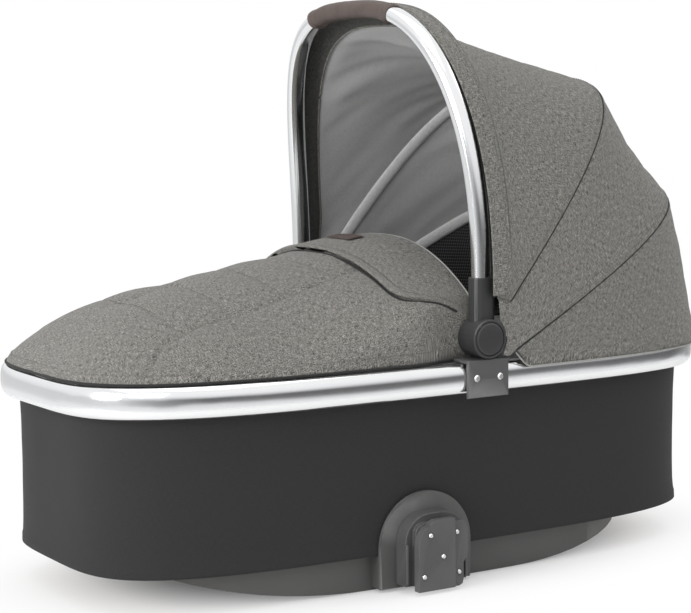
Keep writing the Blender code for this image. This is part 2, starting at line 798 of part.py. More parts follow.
def screw_hole(place):
    profile = ((SCREW_HOLE, place.z - OVERRUN), (SCREW_HOLE, BOARD_TOP + OVERRUN))
    return upright(profile, place, SCREW_SIDES)


def screw(place):
    seat = place.z - TOUCH
    profile = (
        (SCREW_HEAD * 0.7, seat - SCREW_HEAD_HEIGHT), (SCREW_HEAD, seat - SCREW_HEAD_HEIGHT / 2),
        (SCREW_HEAD, seat), (SCREW_SHANK, seat), (SCREW_SHANK, BOARD_TOP - TOUCH),
    )
    return upright(profile, place, SCREW_SIDES)


def arch_outline(half_width, bottom, top, corner, steps):
    """An upright outline about BOSS_X whose two top corners are round."""
    points = [(BOSS_X - half_width, bottom), (BOSS_X + half_width, bottom)]
    for centre, start in ((BOSS_X + half_width - corner, 0.0), (BOSS_X - half_width + corner, 0.5)):
        for k in range(steps + 1):
            turn = math.pi * (start + 0.5 * k / steps)
            points.append((centre + corner * math.cos(turn), top - corner + corner * math.sin(turn)))
    ring = []
    for point in points:
        if not ring or math.dist(point, ring[-1]) > TOUCH:
            ring.append(point)
    return ring


def outward(side):
    """Places (x, z) points of a side piece at a distance from the middle plane."""
    return lambda x, z, reach: Vector((x, side * reach, z))


def soften(bm, side, reach, width):
    """Bevels the edges that lie on the face at reach from the middle plane."""
    edges = [
        edge for edge in bm.edges
        if all(abs(vert.co.y - side * reach) < TOUCH / 3 for vert in edge.verts)
    ]
    bmesh.ops.bevel(bm, geom=edges, offset=width, segments=2, profile=0.5, affect="EDGES")
    return bm


def make_base():
    steps = ROCKER_STEPS
    under = [(BASE_FOOT + (FLAT_FOOT - BASE_FOOT) * k / steps) for k in range(steps + 1)]
    under += [(FLAT_HEAD + (BASE_HEAD - FLAT_HEAD) * k / steps) for k in range(steps + 1)]
    profile = [(x, rocker_height(x)) for x in under] + [(BASE_HEAD, BASE_TOP), (BASE_FOOT, BASE_TOP)]
    across = lambda x, z, y: Vector((x, y, z))
    bm = prism(profile, -BASE_HALF_WIDTH, BASE_HALF_WIDTH, across)
    edges = [
        edge for edge in bm.edges
        if abs(edge.verts[0].co.y - edge.verts[1].co.y) < TOUCH
        and max(vert.co.z for vert in edge.verts) < BASE_TOP - BASE_PLATE / 2
    ]
    bmesh.ops.bevel(bm, geom=edges, offset=BASE_EDGE, segments=2, profile=0.5, affect="EDGES")
    base = add_piece("rocker_base", bm, BASE_PLASTIC)
    flat = lambda x, y, z: Vector((x, y, z))
    whole = base_outline(0.0, BASE_FOOT, BASE_HEAD, BASE_OUTLINE_COUNT)
    boolean(base, prism(whole, -OVERRUN, BASE_TOP + OVERRUN, flat), "INTERSECT")
    hollow = base_outline(BASE_WALL, BASE_FOOT, BASE_HEAD, BASE_OUTLINE_COUNT // 2)
    boolean(base, prism(hollow, -OVERRUN, BASE_RIB_LIFT, flat), "DIFFERENCE")
    ribs = [BASE_FOOT + share * (BASE_HEAD - BASE_FOOT) for share in RIB_SHARES]
    starts = [BASE_FOOT] + [x + BASE_RIB / 2 for x in ribs]
    ends = [x - BASE_RIB / 2 for x in ribs] + [BASE_HEAD]
    bays = []
    for first, last in zip(starts, ends):
        bay = base_outline(BASE_WALL + BASE_EDGE, first, last, BASE_OUTLINE_COUNT // 4)
        bays.append(prism(bay, -OVERRUN, BASE_TOP - BASE_PLATE, flat))
    boolean(base, merge(bays), "DIFFERENCE")
    arch = arch_outline(BOSS_HALF_WIDTH, BOSS_BOTTOM, BOSS_TOP, BOSS_HALF_WIDTH, BOSS_ARC_STEPS)
    root = BASE_HALF_WIDTH - BASE_WALL / 2
    for side in (-1, 1):
        plate = prism(arch, BOSS_INNER, BOSS_OUTER, outward(side))
        boolean(base, soften(plate, side, BOSS_OUTER, BOSS_EDGE), "UNION")
        low = (BOSS_X - BOSS_HALF_WIDTH + TOUCH, root, BOSS_BOTTOM + TOUCH)
        high = (BOSS_X + BOSS_HALF_WIDTH - TOUCH, BOSS_INNER + BOSS_THICKNESS / 2, BASE_TOP - TOUCH)
        foot = block(low, high)
        bmesh.ops.scale(foot, vec=(1.0, side, 1.0), verts=foot.verts)
        bmesh.ops.recalc_face_normals(foot, faces=foot.faces)
        boolean(base, foot, "UNION")
    boolean(base, merge([screw_hole(place) for place in screw_places()]), "DIFFERENCE")
    for number, place in enumerate(screw_places(), 1):
        add_piece(f"base_screw_{number}", screw(place), BRIGHT_STEEL)


def plate_point(share):
    x = PLATE_FOOT_EDGE + share[0] * PLATE_WIDTH
    return (x, PLATE_BOTTOM + share[1] * PLATE_HEIGHT)


def make_adaptor(name, side):
    outline = arch_outline(BLOCK_HALF_WIDTH, BLOCK_BOTTOM, BLOCK_TOP, BLOCK_ROUND, 6)
    body = prism(outline, BLOCK_INNER, BLOCK_OUTER, outward(side))
    adaptor = add_piece(f"adaptor_block_{name}", body, BASE_PLASTIC)
    neck = arch_outline(NECK_HALF_WIDTH, BLOCK_BOTTOM, NECK_TOP, BLOCK_ROUND / 3, 3)
    neck_end = BLOCK_OUTER + SLOT_DEPTH
    boolean(adaptor, prism(neck, BLOCK_OUTER - OVERRUN, neck_end, outward(side)), "UNION")
    for edge in (-1, 1):
        outer = BOSS_X + edge * BLOCK_HALF_WIDTH
        lip = [
            (outer, BLOCK_BOTTOM + BLOCK_LIP), (outer, BLOCK_TOP - BLOCK_ROUND),
            (outer - edge * BLOCK_LIP_WIDTH, BLOCK_TOP - BLOCK_ROUND),
            (outer - edge * BLOCK_LIP_WIDTH, BLOCK_BOTTOM + BLOCK_LIP),
        ]
        reach = (BLOCK_OUTER - OVERRUN, BLOCK_OUTER + BLOCK_LIP)
        boolean(adaptor, prism(lip, *reach, outward(side)), "UNION")
    outline = [plate_point(share) for share in PLATE_OUTLINE_SHARES]
    plate = add_piece(
        f"adaptor_plate_{name}",
        prism(outline, PLATE_INNER, PLATE_OUTER, outward(side)),
        JOINT_PLASTIC,
    )
    low, high = plate_point((PLATE_RECESS_SHARE, 0.0)), plate_point((1.0, 1.0))
    recess = [
        (low[0], low[1] - OVERRUN), (high[0] + OVERRUN, low[1] - OVERRUN),
        (high[0] + OVERRUN, high[1] + OVERRUN), (low[0], high[1] + OVERRUN),
    ]
    reach = (PLATE_OUTER - PLATE_RECESS, PLATE_OUTER + OVERRUN)
    boolean(plate, prism(recess, *reach, outward(side)), "DIFFERENCE")
    holes = []
    for number, share in enumerate(PLATE_RIVET_SHARES, 1):
        x, z = plate_point(share)
        face = PLATE_OUTER if share[0] < PLATE_RECESS_SHARE else PLATE_OUTER - PLATE_RECESS
        seat = face - RIVET_SEAT_DEPTH
        place = Vector((x, side * seat, z))
        bm = rivet(place, side, RIVET_HEAD, seat - PLATE_INNER)
        add_piece(f"adaptor_rivet_{name}_{number}", bm, BRIGHT_STEEL)
        room = RIVET_HEAD + RIVET_SEAT_GAP
        ends = (
            (RIVET_HOLE, PLATE_INNER - OVERRUN), (RIVET_HOLE, seat), (room, seat),
            (room, PLATE_OUTER + OVERRUN),
        )
        holes.append(turned(ends, place, side, RIVET_SIDES))
    boolean(plate, merge(holes), "DIFFERENCE")


def make_clamp(name, side):
    low = RAIL_BOTTOM - CLAMP_DROP
    bridge = RAIL_TOP + TOUCH
    profile = [
        (CLAMP_OUTER, low), (CLAMP_OUTER, CLAMP_TOP), (HOUSING_INNER, CLAMP_TOP),
        (HOUSING_INNER, bridge), (CLAMP_INNER, bridge), (CLAMP_INNER, low),
    ]
    along = lambda reach, z, x: Vector((x, side * reach, z))
    first, last = PIVOT_X - CLAMP_LENGTH / 2, PIVOT_X + CLAMP_LENGTH / 2
    bm = soften(prism(profile, first, last, along), side, CLAMP_OUTER, CLAMP_EDGE)
    clamp = add_piece(f"clamp_{name}", bm, JOINT_PLASTIC)
    reach = (HOUSING_INNER, HOUSING_INNER + HOUSING_THICKNESS)
    web = [
        (PIVOT_X - HOUSING_WEB / 2, CLAMP_TOP - CLAMP_BRIDGE / 2),
        (PIVOT_X + HOUSING_WEB / 2, CLAMP_TOP - CLAMP_BRIDGE / 2),
        (PIVOT_X + HOUSING_WEB / 2, PIVOT_HEIGHT - HOUSING_RADIUS / 2),
        (PIVOT_X - HOUSING_WEB / 2, PIVOT_HEIGHT - HOUSING_RADIUS / 2),
    ]
    web_reach = (reach[0] + TOUCH, reach[1] - TOUCH)
    boolean(clamp, prism(web, *web_reach, outward(side)), "UNION")
    disc = ((HOUSING_RADIUS, reach[0]), (HOUSING_RADIUS, reach[1]))
    boolean(clamp, turned(disc, PIVOT, side, ARM_SIDES), "UNION")
    bore = ((BORE_RADIUS, reach[0] - OVERRUN), (BORE_RADIUS, reach[1] + OVERRUN))
    boolean(clamp, turned(bore, PIVOT, side, PIN_SIDES), "DIFFERENCE")
    holes = [clamp_rivet_hole(side, direction) for direction in (-1, 1)]
    boolean(clamp, merge(holes), "DIFFERENCE")
    for end, direction in (("foot", -1), ("head", 1)):
        place = clamp_rivet_place(side, direction)
        bm = rivet(place, side, CLAMP_RIVET_HEAD, CLAMP_RIVET_DEPTH)
        add_piece(f"clamp_rivet_{name}_{end}", bm, BRIGHT_STEEL)
    head = HOUSING_INNER - TOUCH
    pin = (
        (PIN_HEAD_RADIUS, head - PIN_HEAD_THICKNESS), (PIN_HEAD_RADIUS, head),
        (PIN_RADIUS, head), (PIN_RADIUS, PIN_END),
    )
    add_piece(f"pivot_pin_{name}", turned(pin, PIVOT, side, PIN_SIDES), BRIGHT_STEEL)


def bow_half_width(reach, bow_reach, bow_width):
    rest = 1 - (reach / bow_reach) ** BOW_SQUARENESS
    return bow_width * max(rest, 0.0) ** (1 / BOW_SQUARENESS)


def bow_curve(bow_reach, bow_width, start, count):
    """(side, reach) points over one bow, from start on the -Y side to start on the +Y side."""
    fine = 720
    power = 2 / BOW_SQUARENESS
    first = math.asin((start / bow_reach) ** (BOW_SQUARENESS / 2))
    points = []
    for k in range(fine + 1):
        turn = first + (math.pi - 2 * first) * k / fine
        c, s = math.cos(turn), math.sin(turn)
        across = -math.copysign(abs(c) ** power, c) * bow_width
        points.append(Vector((across, abs(s) ** power * bow_reach, 0.0)))
    return [(point.x, point.y) for point in resample(points, count)]


def on_bow(angle, across, reach, out=0.0):
    """A point in the bow plane at angle above +X, and out from that plane to the foot end."""
    x = reach * math.cos(angle) - out * math.sin(angle)
    z = reach * math.sin(angle) + out * math.cos(angle)
    return PIVOT + Vector((x, across, z))


def crank_at(reach, crank):
    """How far a rib's leg has stepped below the line from the joint, at reach from it."""
    share = min(max((reach - RIB_ROOT) / (RIB_JOGGLE_START - RIB_ROOT), 0.0), 1.0)
    return crank * share * share * (3 - 2 * share)


def make_rib(name, angle, bow_reach, bow_width, crank, eyelet_inner, axis):
    """A flat bow: its legs turn in their own layers of the joint, then step out to the cloth."""
    inset = RIB_INSET + RIB_THICKNESS / 2
    reach, width = bow_reach - inset, bow_width - inset
    layer = eyelet_inner + EYELET_THICKNESS / 2
    joggle_steps = 4
    leg = (RIB_JOGGLE_START - RIB_ROOT) / joggle_steps
    half = [(layer, RIB_ROOT + leg * k) for k in range(joggle_steps)]
    for k in range(joggle_steps):
        share = k / joggle_steps
        r = RIB_JOGGLE_START + (RIB_JOGGLE_END - RIB_JOGGLE_START) * share
        ease = share * share * (3 - 2 * share)
        half.append((layer + (bow_half_width(r, reach, width) - layer) * ease, r))
    middle = bow_curve(reach, width, RIB_JOGGLE_END, BOW_COUNT - 6)
    path = [(-y, r) for y, r in half] + middle + [(y, r) for y, r in reversed(half)]
    rings = []
    for k, (across, r) in enumerate(path):
        before, after = path[max(k - 1, 0)], path[min(k + 1, len(path) - 1)]
        along = Vector((after[0] - before[0], after[1] - before[1])).normalized()
        out = Vector((-along.y, along.x))
        ring = []
        for u, v in ((-1, -1), (1, -1), (1, 1), (-1, 1)):
            y = across + out.x * u * RIB_THICKNESS / 2
            reach_here = r + out.y * u * RIB_THICKNESS / 2
            ring.append(on_bow(angle, y, reach_here, v * RIB_WIDTH / 2 - crank_at(r, crank)))
        rings.append(ring)
    rib = add_piece(name, loft(rings), JOINT_PLASTIC, axis=axis)
    for side in (-1, 1):
        ends = (eyelet_inner, eyelet_inner + EYELET_THICKNESS)
        disc = ((EYELET_RADIUS, ends[0]), (EYELET_RADIUS, ends[1]))
        boolean(rib, turned(disc, PIVOT, side, EYELET_SIDES), "UNION")
    bores = []
    for side in (-1, 1):
        ends = (eyelet_inner - OVERRUN, eyelet_inner + EYELET_THICKNESS + OVERRUN)
        bore = ((BORE_RADIUS, ends[0]), (BORE_RADIUS, ends[1]))
        bores.append(turned(bore, PIVOT, side, PIN_SIDES))
    boolean(rib, merge(bores), "DIFFERENCE")
    return rib


def hoop_point(turn):
    """Centre line of the hoop: turn runs from 0 at the -Y foot to pi at the +Y foot."""
    c, s = math.cos(turn), math.sin(turn)
    power = 2 / HOOP_SQUARENESS
    share = abs(s) ** power
    narrow = 1 - HOOP_NARROWING_SHARE * share
    y = -math.copysign(abs(c) ** power, c) * HOOP_HALF_WIDTH * narrow
    return Vector((HOOP_X - HOOP_LEAN_TOP * share ** 2, y, HOOP_START + HOOP_RISE * share))


def hoop_stations(foot, count):
    """Centre, outward and rearward directions along the hoop, from foot to foot."""
    fine = 1200
    points = [Vector((HOOP_X, -HOOP_HALF_WIDTH, foot))]
    points += [hoop_point(math.pi * k / fine) for k in range(fine + 1)]
    points.append(Vector((HOOP_X, HOOP_HALF_WIDTH, foot)))
    path = resample(points, count)
    return [hoop_frame(path, k) for k in range(len(path))]


def hoop_frame(path, k):
    before, after = path[max(k - 1, 0)], path[min(k + 1, len(path) - 1)]
    along = (after - before).normalized()
    rear = Vector((1.0, 0.0, 0.0))
    rear = (rear - along * rear.dot(along)).normalized()
    return (path[k], along.cross(rear) * -1, rear)


def hoop_ring(frame, section):
    centre, out, rear = frame
    return [centre + out * u + rear * v for u, v in section]


def make_handle(axis):
    frames = hoop_stations(HOOP_END, HOOP_COUNT)
    outer = oval(HOOP_THICKNESS, HOOP_DEPTH, HOOP_SECTION_SQUARENESS, HOOP_SIDES)
    bore_width = HOOP_THICKNESS - 2 * HOOP_TUBE_WALL
    bore_depth = HOOP_DEPTH - 2 * HOOP_TUBE_WALL
    bore = oval(bore_width, bore_depth, HOOP_SECTION_SQUARENESS, HOOP_SIDES)
    rings = [hoop_ring(frame, outer) for frame in frames]
    rings += [hoop_ring(frame, bore) for frame in reversed(frames)]
    add_piece("hoop", loft(rings, wrap=True), CHROME, axis=axis)
    cuff = GRIP_HALF_LENGTH - GRIP_CUFF_LENGTH
    stations = [frame for frame in frames if abs(frame[0].y) < GRIP_HALF_LENGTH]
    stations += [frame_at(frames, y) for y in (-GRIP_HALF_LENGTH, -cuff, cuff, GRIP_HALF_LENGTH)]
    stations.sort(key=lambda frame: frame[0].y)
    bore_width = HOOP_THICKNESS + 2 * HOOP_CLEARANCE
    bore_depth = HOOP_DEPTH + 2 * HOOP_CLEARANCE
    bore = oval(bore_width, bore_depth, HOOP_SECTION_SQUARENESS, HOOP_SIDES)
    rings = []
    for frame in stations:
        wall = GRIP_THICKNESS + HOOP_CLEARANCE
        if abs(frame[0].y) > cuff + TOUCH:
            wall += GRIP_CUFF
        outer = oval(
            HOOP_THICKNESS + 2 * wall, HOOP_DEPTH + 2 * wall, HOOP_SECTION_SQUARENESS, HOOP_SIDES
        )
        rings.append(hoop_ring(frame, outer))
    rings += [hoop_ring(frame, bore) for frame in reversed(stations)]
    add_piece("grip", loft(rings, wrap=True), LEATHER, axis=axis)


def frame_at(frames, y):
    """The station on the upper part of the hoop whose centre lies at y."""
    top = [frame for frame in frames if frame[0].z > HOOP_START + HOOP_RISE / 2]
    for first, last in zip(top, top[1:]):
        if first[0].y <= y <= last[0].y:
            share = (y - first[0].y) / (last[0].y - first[0].y)
            return tuple(a.lerp(b, share) for a, b in zip(first, last))
    return top[0]


def make_arm(name, side, axis):
    disc = (
        (ARM_RADIUS, ARM_INNER), (ARM_RADIUS, ARM_OUTER - ARM_EDGE),
        (ARM_RADIUS - ARM_EDGE, ARM_OUTER),
    )
    arm = add_piece(f"arm_{name}", turned(disc, PIVOT, side, ARM_SIDES), JOINT_PLASTIC, axis=axis)
    section = oval(SLEEVE_WIDTH, SLEEVE_LENGTH, SLEEVE_SQUARENESS, SLEEVE_SIDES)
    tip = oval(
        SLEEVE_WIDTH - ARM_EDGE, SLEEVE_LENGTH - ARM_EDGE, SLEEVE_SQUARENESS, SLEEVE_SIDES
    )
    levels = (
        (PIVOT_HEIGHT, section), (SLEEVE_TOP - ARM_EDGE, section), (SLEEVE_TOP, tip),
    )
    rings = []
    for height, outline in levels:
        centre = Vector((HOOP_X, side * HOOP_HALF_WIDTH, height))
        rings.append([centre + Vector((v, side * u, 0.0)) for u, v in outline])
    boolean(arm, loft(rings), "UNION")
    bore_width = HOOP_THICKNESS + 2 * HOOP_CLEARANCE
    bore_depth = HOOP_DEPTH + 2 * HOOP_CLEARANCE
    socket = oval(bore_width, bore_depth, HOOP_SECTION_SQUARENESS, HOOP_SIDES)
    rings = []
    for height in (HOOP_END - TOUCH, SLEEVE_TOP + OVERRUN):
        centre = Vector((HOOP_X, side * HOOP_HALF_WIDTH, height))
        rings.append([centre + Vector((v, side * u, 0.0)) for u, v in socket])
    boolean(arm, loft(rings), "DIFFERENCE")
    radius = BUTTON_RADIUS + BUTTON_CLEARANCE
    recess = ((radius, RECESS_FLOOR), (radius, ARM_OUTER + OVERRUN))
    boolean(arm, turned(recess, PIVOT, side, ARM_SIDES), "DIFFERENCE")
    bore = ((BORE_RADIUS, ARM_INNER - OVERRUN), (BORE_RADIUS, PIN_END + TOUCH))
    boolean(arm, turned(bore, PIVOT, side, PIN_SIDES), "DIFFERENCE")
    button = (
        (BUTTON_SPIGOT_RADIUS, BUTTON_BACK - BUTTON_SPIGOT_HEIGHT),
        (BUTTON_SPIGOT_RADIUS, BUTTON_BACK), (BUTTON_RADIUS, BUTTON_BACK),
        (BUTTON_RADIUS, BUTTON_FACE - BUTTON_EDGE), (BUTTON_RADIUS - BUTTON_EDGE, BUTTON_FACE),
        (BUTTON_RADIUS / 2, BUTTON_FACE + BUTTON_DOME),
    )
    origin = PIVOT + Vector((0.0, side * BUTTON_FACE, 0.0))
    add_piece(
        f"button_{name}", turned(button, PIVOT, side, ARM_SIDES), JOINT_PLASTIC,
        axis=axis, origin=origin,
    )
    path = spring_path(side)
    add_piece(
        f"button_spring_{name}", tube(path, SPRING_WIRE / 2, SPRING_SIDES), SPRING_STEEL, axis=axis
    )


def spring_path(side):
    """Helix between the floor of the recess and the back of the button."""
    low = SPRING_START + SPRING_WIRE / 2
    high = SPRING_END - SPRING_WIRE / 2
    count = round(SPRING_TURNS * SPRING_POINTS)
    path = []
    for k in range(count + 1):
        turn = math.tau * k / SPRING_POINTS
        x = SPRING_RADIUS * math.cos(turn)
        z = SPRING_RADIUS * math.sin(turn)
        path.append(PIVOT + Vector((x, side * (low + (high - low) * k / count), z)))
    return path


def panel(first, last, sag, shares, gap=SEAM_GAP, dip=0.0):
    """Cloth between two curves of equal length, drawn in by sag halfway across.

    It starts gap behind the first curve. A dip is deepest at the second share.
    """
    grid = []
    for share in shares:
        line = []
        for a, b in zip(first, last):
            span = b - a
            edge = span.normalized()
            point = (a + edge * gap).lerp(b - edge * SEAM_GAP, share)
            inward = (PIVOT - point)
            inward.y = 0.0
            depth = sag * math.sin(math.pi * share) * 4 * share * (1 - share)
            depth += dip * min(share / shares[1], 1.0) * (1 - share)
            fade = min(1.0, inward.length / MID_RIB_REACH)
            line.append(point + inward.normalized() * depth * fade ** 2)
        grid.append(line)
    return grid


def cloth(name, grid, thickness, finish, axis=None, inside=PIVOT):
    """An open sheet through a grid of points, thickened inwards."""
    bm = bmesh.new()
    rows = [[bm.verts.new(point) for point in line] for line in grid]
    for low, high in zip(rows, rows[1:]):
        for k in range(len(low) - 1):
            bm.faces.new((low[k], low[k + 1], high[k + 1], high[k]))
    item = add_piece(name, bm, finish, axis=axis, crease=60.0)
    mesh = item.data
    facing = sum(
        face.area * face.normal.dot(face.center - inside) for face in mesh.polygons
    )
    if facing < 0.0:
        mesh.flip_normals()
    solidify = item.modifiers.new("thickness", "SOLIDIFY")
    solidify.thickness = thickness
    solidify.offset = -1.0
    solidify.use_even_offset = True
    return item


def bow_line(angle, reach, width, crank, start, inset):
    curve = bow_curve(reach - inset, width - inset, start, BOW_COUNT)
    return [on_bow(angle, across, r, -crank) for across, r in curve]


def band_edge(inset, behind, foot):
    """A line beside the hoop, which comes in and goes back a little towards its top."""
    line = []
    for centre, out, rear in hoop_stations(foot, BOW_COUNT):
        share = min(max((centre.z - HOOP_START) / HOOP_RISE, 0.0), 1.0)
        standoff = BAND_STANDOFF + (BAND_TOP_STANDOFF - BAND_STANDOFF) * share ** 2 - inset
        line.append(centre + out * standoff + rear * (behind + BAND_TOP_GAP * share ** 4))
    return line


def hem_line(inset, height, start):
    run = plan_run(inset, height, start, start)
    return resample(run, BOW_COUNT)


def make_hood(handle_axis, mid_axis, rear_axis):
    band_end = BAND_START + BAND_WIDTH
    band = [band_edge(0.0, BAND_START + BAND_WIDTH * k / 2, BAND_FOOT) for k in range(3)]
    cloth("hood_front_band", band, CLOTH, HOOD_CLOTH, axis=handle_axis)
    mid_bow = (MID_RIB_ANGLE, MID_RIB_REACH, MID_RIB_HALF_WIDTH, MID_RIB_CRANK)
    rear_bow = (REAR_RIB_ANGLE, REAR_RIB_REACH, REAR_RIB_HALF_WIDTH, REAR_RIB_CRANK)
    layers = (
        ("panel", CLOTH, HOOD_CLOTH, 0.0, MID_BOW_START, REAR_BOW_START),
        ("lining", LINING_THICKNESS, LINING_CLOTH, LINING_INSET, LINING_START, LINING_START),
    )
    for kind, thickness, finish, inset, mid_start, rear_start in layers:
        outer = kind == "panel"
        rows = PANEL_ROW_SHARES if outer else LINING_ROW_SHARES
        foot = BAND_FOOT if outer else PIVOT_HEIGHT + LINING_START
        if outer:
            low = hem_line(-HEM_REACH, RAIL_TOP + HOOD_TOP_ROUND, PIVOT_X + HEM_START)
        else:
            low = hem_line(LINING_HEM_INSET, RAIL_TOP + LINING_HEM_LIFT, PIVOT_X + LINING_START)
        front = hoop_start(inset, band_end + BAND_SEAM_GAP, foot)
        middle = bow_line(*mid_bow, mid_start, inset)
        rear = bow_line(*rear_bow, rear_start, inset)
        pieces = (
            (f"hood_front_{kind}", front, middle, FRONT_SAG, 0.0, FRONT_DIP, mid_axis),
            (f"hood_mid_{kind}", middle, rear, MID_SAG, SEAM_GAP, 0.0, rear_axis),
            (f"hood_rear_{kind}", rear, low, -REAR_BULGE, SEAM_GAP, 0.0, None),
        )
        for name, first, last, sag, gap, dip, axis in pieces:
            grid = panel(first, last, sag, rows, gap, dip)
            if outer and axis is None:
                grid.append([Vector((p.x, p.y, HEM_HEIGHT)) for p in low])
            cloth(name, grid, thickness, finish, axis=axis)


def hoop_start(inset, behind, foot):
    """The front panel's front edge: along the band, but only above foot."""
    if foot <= HOOP_START:
        return band_edge(inset, behind, foot)
    line = band_edge(inset, behind, BAND_FOOT)
    fine = []
    for a, b in zip(line, line[1:]):
        fine += [a.lerp(b, k / 20) for k in range(20)]
    fine.append(line[-1])
    return resample([point for point in fine if point.z >= foot], BOW_COUNT)


def apron_half_width(x, depth=0.0):
    share = abs(x - RAIL_X) / (APRON_HALF_LENGTH - depth)
    rest = max(1 - share ** RAIL_SQUARENESS, 0.0)
    return (APRON_HALF_WIDTH - depth) * rest ** (1 / RAIL_SQUARENESS)


def apron_rise(x):
    share = min(max((x - APRON_TIP) / (APRON_END - APRON_TIP), 0.0), 1.0)
    return APRON_RISE * (1 - (1 - share) ** APRON_LEVEL_POWER) ** APRON_RISE_POWER


def apron_shape(s, x):
    """Height share across the apron: a plain dome at the foot, steep sides at the head."""
    k = (x - APRON_SIDE_START) / (APRON_SIDE_FULL - APRON_SIDE_START)
    k = min(max(k, 0.0), 1.0)
    k = k * k * (3 - 2 * k)
    dome = 1 - s * s
    droop = 1 - APRON_DROOP_SHARE * s ** APRON_DROOP_POWER
    steep = droop * math.sqrt(max(1 - s ** APRON_EDGE_POWER, 0.0))
    return dome * (1 - k) + steep * k


def apron_level(rise, shape, depth):
    """Height of the cover's upper face, or of its lower face where depth is its thickness."""
    if depth > 0.0:
        return APRON_HEM + (rise + APRON_LIP - depth) * shape
    return APRON_HEM + APRON_LIP + rise * shape


def apron_height(x, y):
    s = min(abs(y) / apron_half_width(x), 1.0)
    return apron_level(apron_rise(x), apron_shape(s, x), 0.0)


def apron_grid(depth):
    """Spokes from the hem to the centre line, which fan out round the foot end."""
    fine = 720
    quarter = []
    for k in range(fine + 1):
        turn = math.pi * k / fine / 2
        c, s = math.cos(turn), math.sin(turn)
        x = RAIL_X - s ** (2 / RAIL_SQUARENESS) * (APRON_HALF_LENGTH - depth)
        y = -(c ** (2 / RAIL_SQUARENESS)) * (APRON_HALF_WIDTH - depth)
        if x <= APRON_SIDE_END:
            quarter.append(Vector((x, y, 0.0)))
    side_start = Vector((APRON_SIDE_END, -apron_half_width(APRON_SIDE_END, depth), 0.0))
    hem = resample([side_start] + quarter, APRON_STATIONS)
    lengths = [0.0]
    for a, b in zip(hem, hem[1:]):
        lengths.append(lengths[-1] + (b - a).length)
    knee = next(k for k, point in enumerate(hem) if point.x < APRON_KNEE)
    spokes = []
    for k, point in enumerate(hem):
        if k < knee:
            share = (point.x - APRON_KNEE) / (APRON_SIDE_END - APRON_KNEE)
            spine = APRON_KNEE + share * (APRON_END - APRON_KNEE)
        else:
            share = (lengths[k] - lengths[knee]) / (lengths[-1] - lengths[knee])
            spine = hem[knee].x + share * (APRON_SPINE_END - hem[knee].x)
        spokes.append((point, spine))
    grid = []
    for row in range(APRON_ROW_COUNT + 1):
        s = 1 - (row / APRON_ROW_COUNT) ** 1.5
        line = []
        for k, (point, spine) in enumerate(spokes):
            if k < knee:
                x = point.x + (spine - point.x) * (1 - s ** APRON_END_POWER)
                y = -s * apron_half_width(x, depth)
                rise = apron_rise(x)
            else:
                x = point.x + (spine - point.x) * (1 - s)
                y = point.y * s
                rise = apron_rise(spine)
            z = apron_level(rise, apron_shape(s, min(x, point.x)), depth)
            line.append(Vector((x, y, z)))
        far = [Vector((p.x, -p.y, p.z)) for p in reversed(line[:-1])]
        grid.append(line + far)
    return grid


def double_skin(upper, lower):
    """A closed cover between two grids of points, joined along their three open edges."""
    bm = bmesh.new()
    grids = [[[bm.verts.new(p) for p in line] for line in grid] for grid in (upper, lower)]
    for grid in grids:
        for low, high in zip(grid, grid[1:]):
            for k in range(len(low) - 1):
                bm.faces.new((low[k], low[k + 1], high[k + 1], high[k]))
    rims = []
    for grid in grids:
        left = [line[0] for line in reversed(grid)]
        right = [line[-1] for line in grid[1:]]
        rims.append(left + grid[0][1:] + right)
    for k in range(len(rims[0]) - 1):
        bm.faces.new((rims[0][k], rims[0][k + 1], rims[1][k + 1], rims[1][k]))
    return bm


def flap_edges(share):
    """Free edge and fold of the flap at a share of its half width."""
    free = FLAP_FREE_EDGE + FLAP_FREE_SLANT * share + FLAP_FREE_CURVE * share ** FLAP_FREE_POWER
    fold = FLAP_FOLD + (FLAP_FOLD_SIDE - FLAP_FOLD) * share ** 3
    return free, fold


def flap_level(x, y, along):
    """Top of the flap: along runs from 0 at its free edge to 1 at its fold."""
    thick = FLAP_EDGE_THICKNESS + (FLAP_FOLD_THICKNESS - FLAP_EDGE_THICKNESS) * along
    front = math.sqrt(max(1 - along ** 8, 0.0))
    return apron_height(x, y) + FLAP_GAP + max(thick * front, FLAP_EDGE_THICKNESS / 2)


def make_apron():
    cover = double_skin(apron_grid(0.0), apron_grid(APRON_CLOTH))
    add_piece("apron", cover, HOOD_CLOTH, crease=60.0)
    top, bottom = [], []
    for row in range(FLAP_ROW_COUNT + 1):
        share = -math.cos(math.pi * row / FLAP_ROW_COUNT)
        y = share * FLAP_HALF_WIDTH
        free, fold = flap_edges(abs(share))
        high, low = [], []
        for k in range(FLAP_COLUMN_COUNT + 1):
            along = 1 - (1 - k / FLAP_COLUMN_COUNT) ** 1.5
            x = free + (fold - free) * along
            high.append(Vector((x, y, flap_level(x, y, along))))
            low.append(Vector((x, y, apron_height(x, y) + FLAP_GAP)))
        top.append(high)
        bottom.append(low)
    rings = [high + list(reversed(low)) for high, low in zip(top, bottom)]
    add_piece("apron_flap", loft(rings), HOOD_CLOTH, crease=60.0)
    lower, upper = [], []
    for i in range(PATCH_STEPS + 1):
        row_low, row_high = [], []
        for j in range(PATCH_STEPS + 1):
            y = PATCH_LENGTH * (j / PATCH_STEPS - 0.5)
            x = PATCH_X + PATCH_DEPTH * (i / PATCH_STEPS - 0.5)
            free, fold = flap_edges(abs(y) / FLAP_HALF_WIDTH)
            level = flap_level(x, y, (x - free) / (fold - free)) + 2 * TOUCH
            row_low.append(Vector((x, y, level)))
            row_high.append(Vector((x, y, level + PATCH_THICKNESS)))
        lower.append(row_low)
        upper.append(row_high)
    rings = [high + list(reversed(low)) for high, low in zip(upper, lower)]
    add_piece("flap_patch", loft(rings), LEATHER)


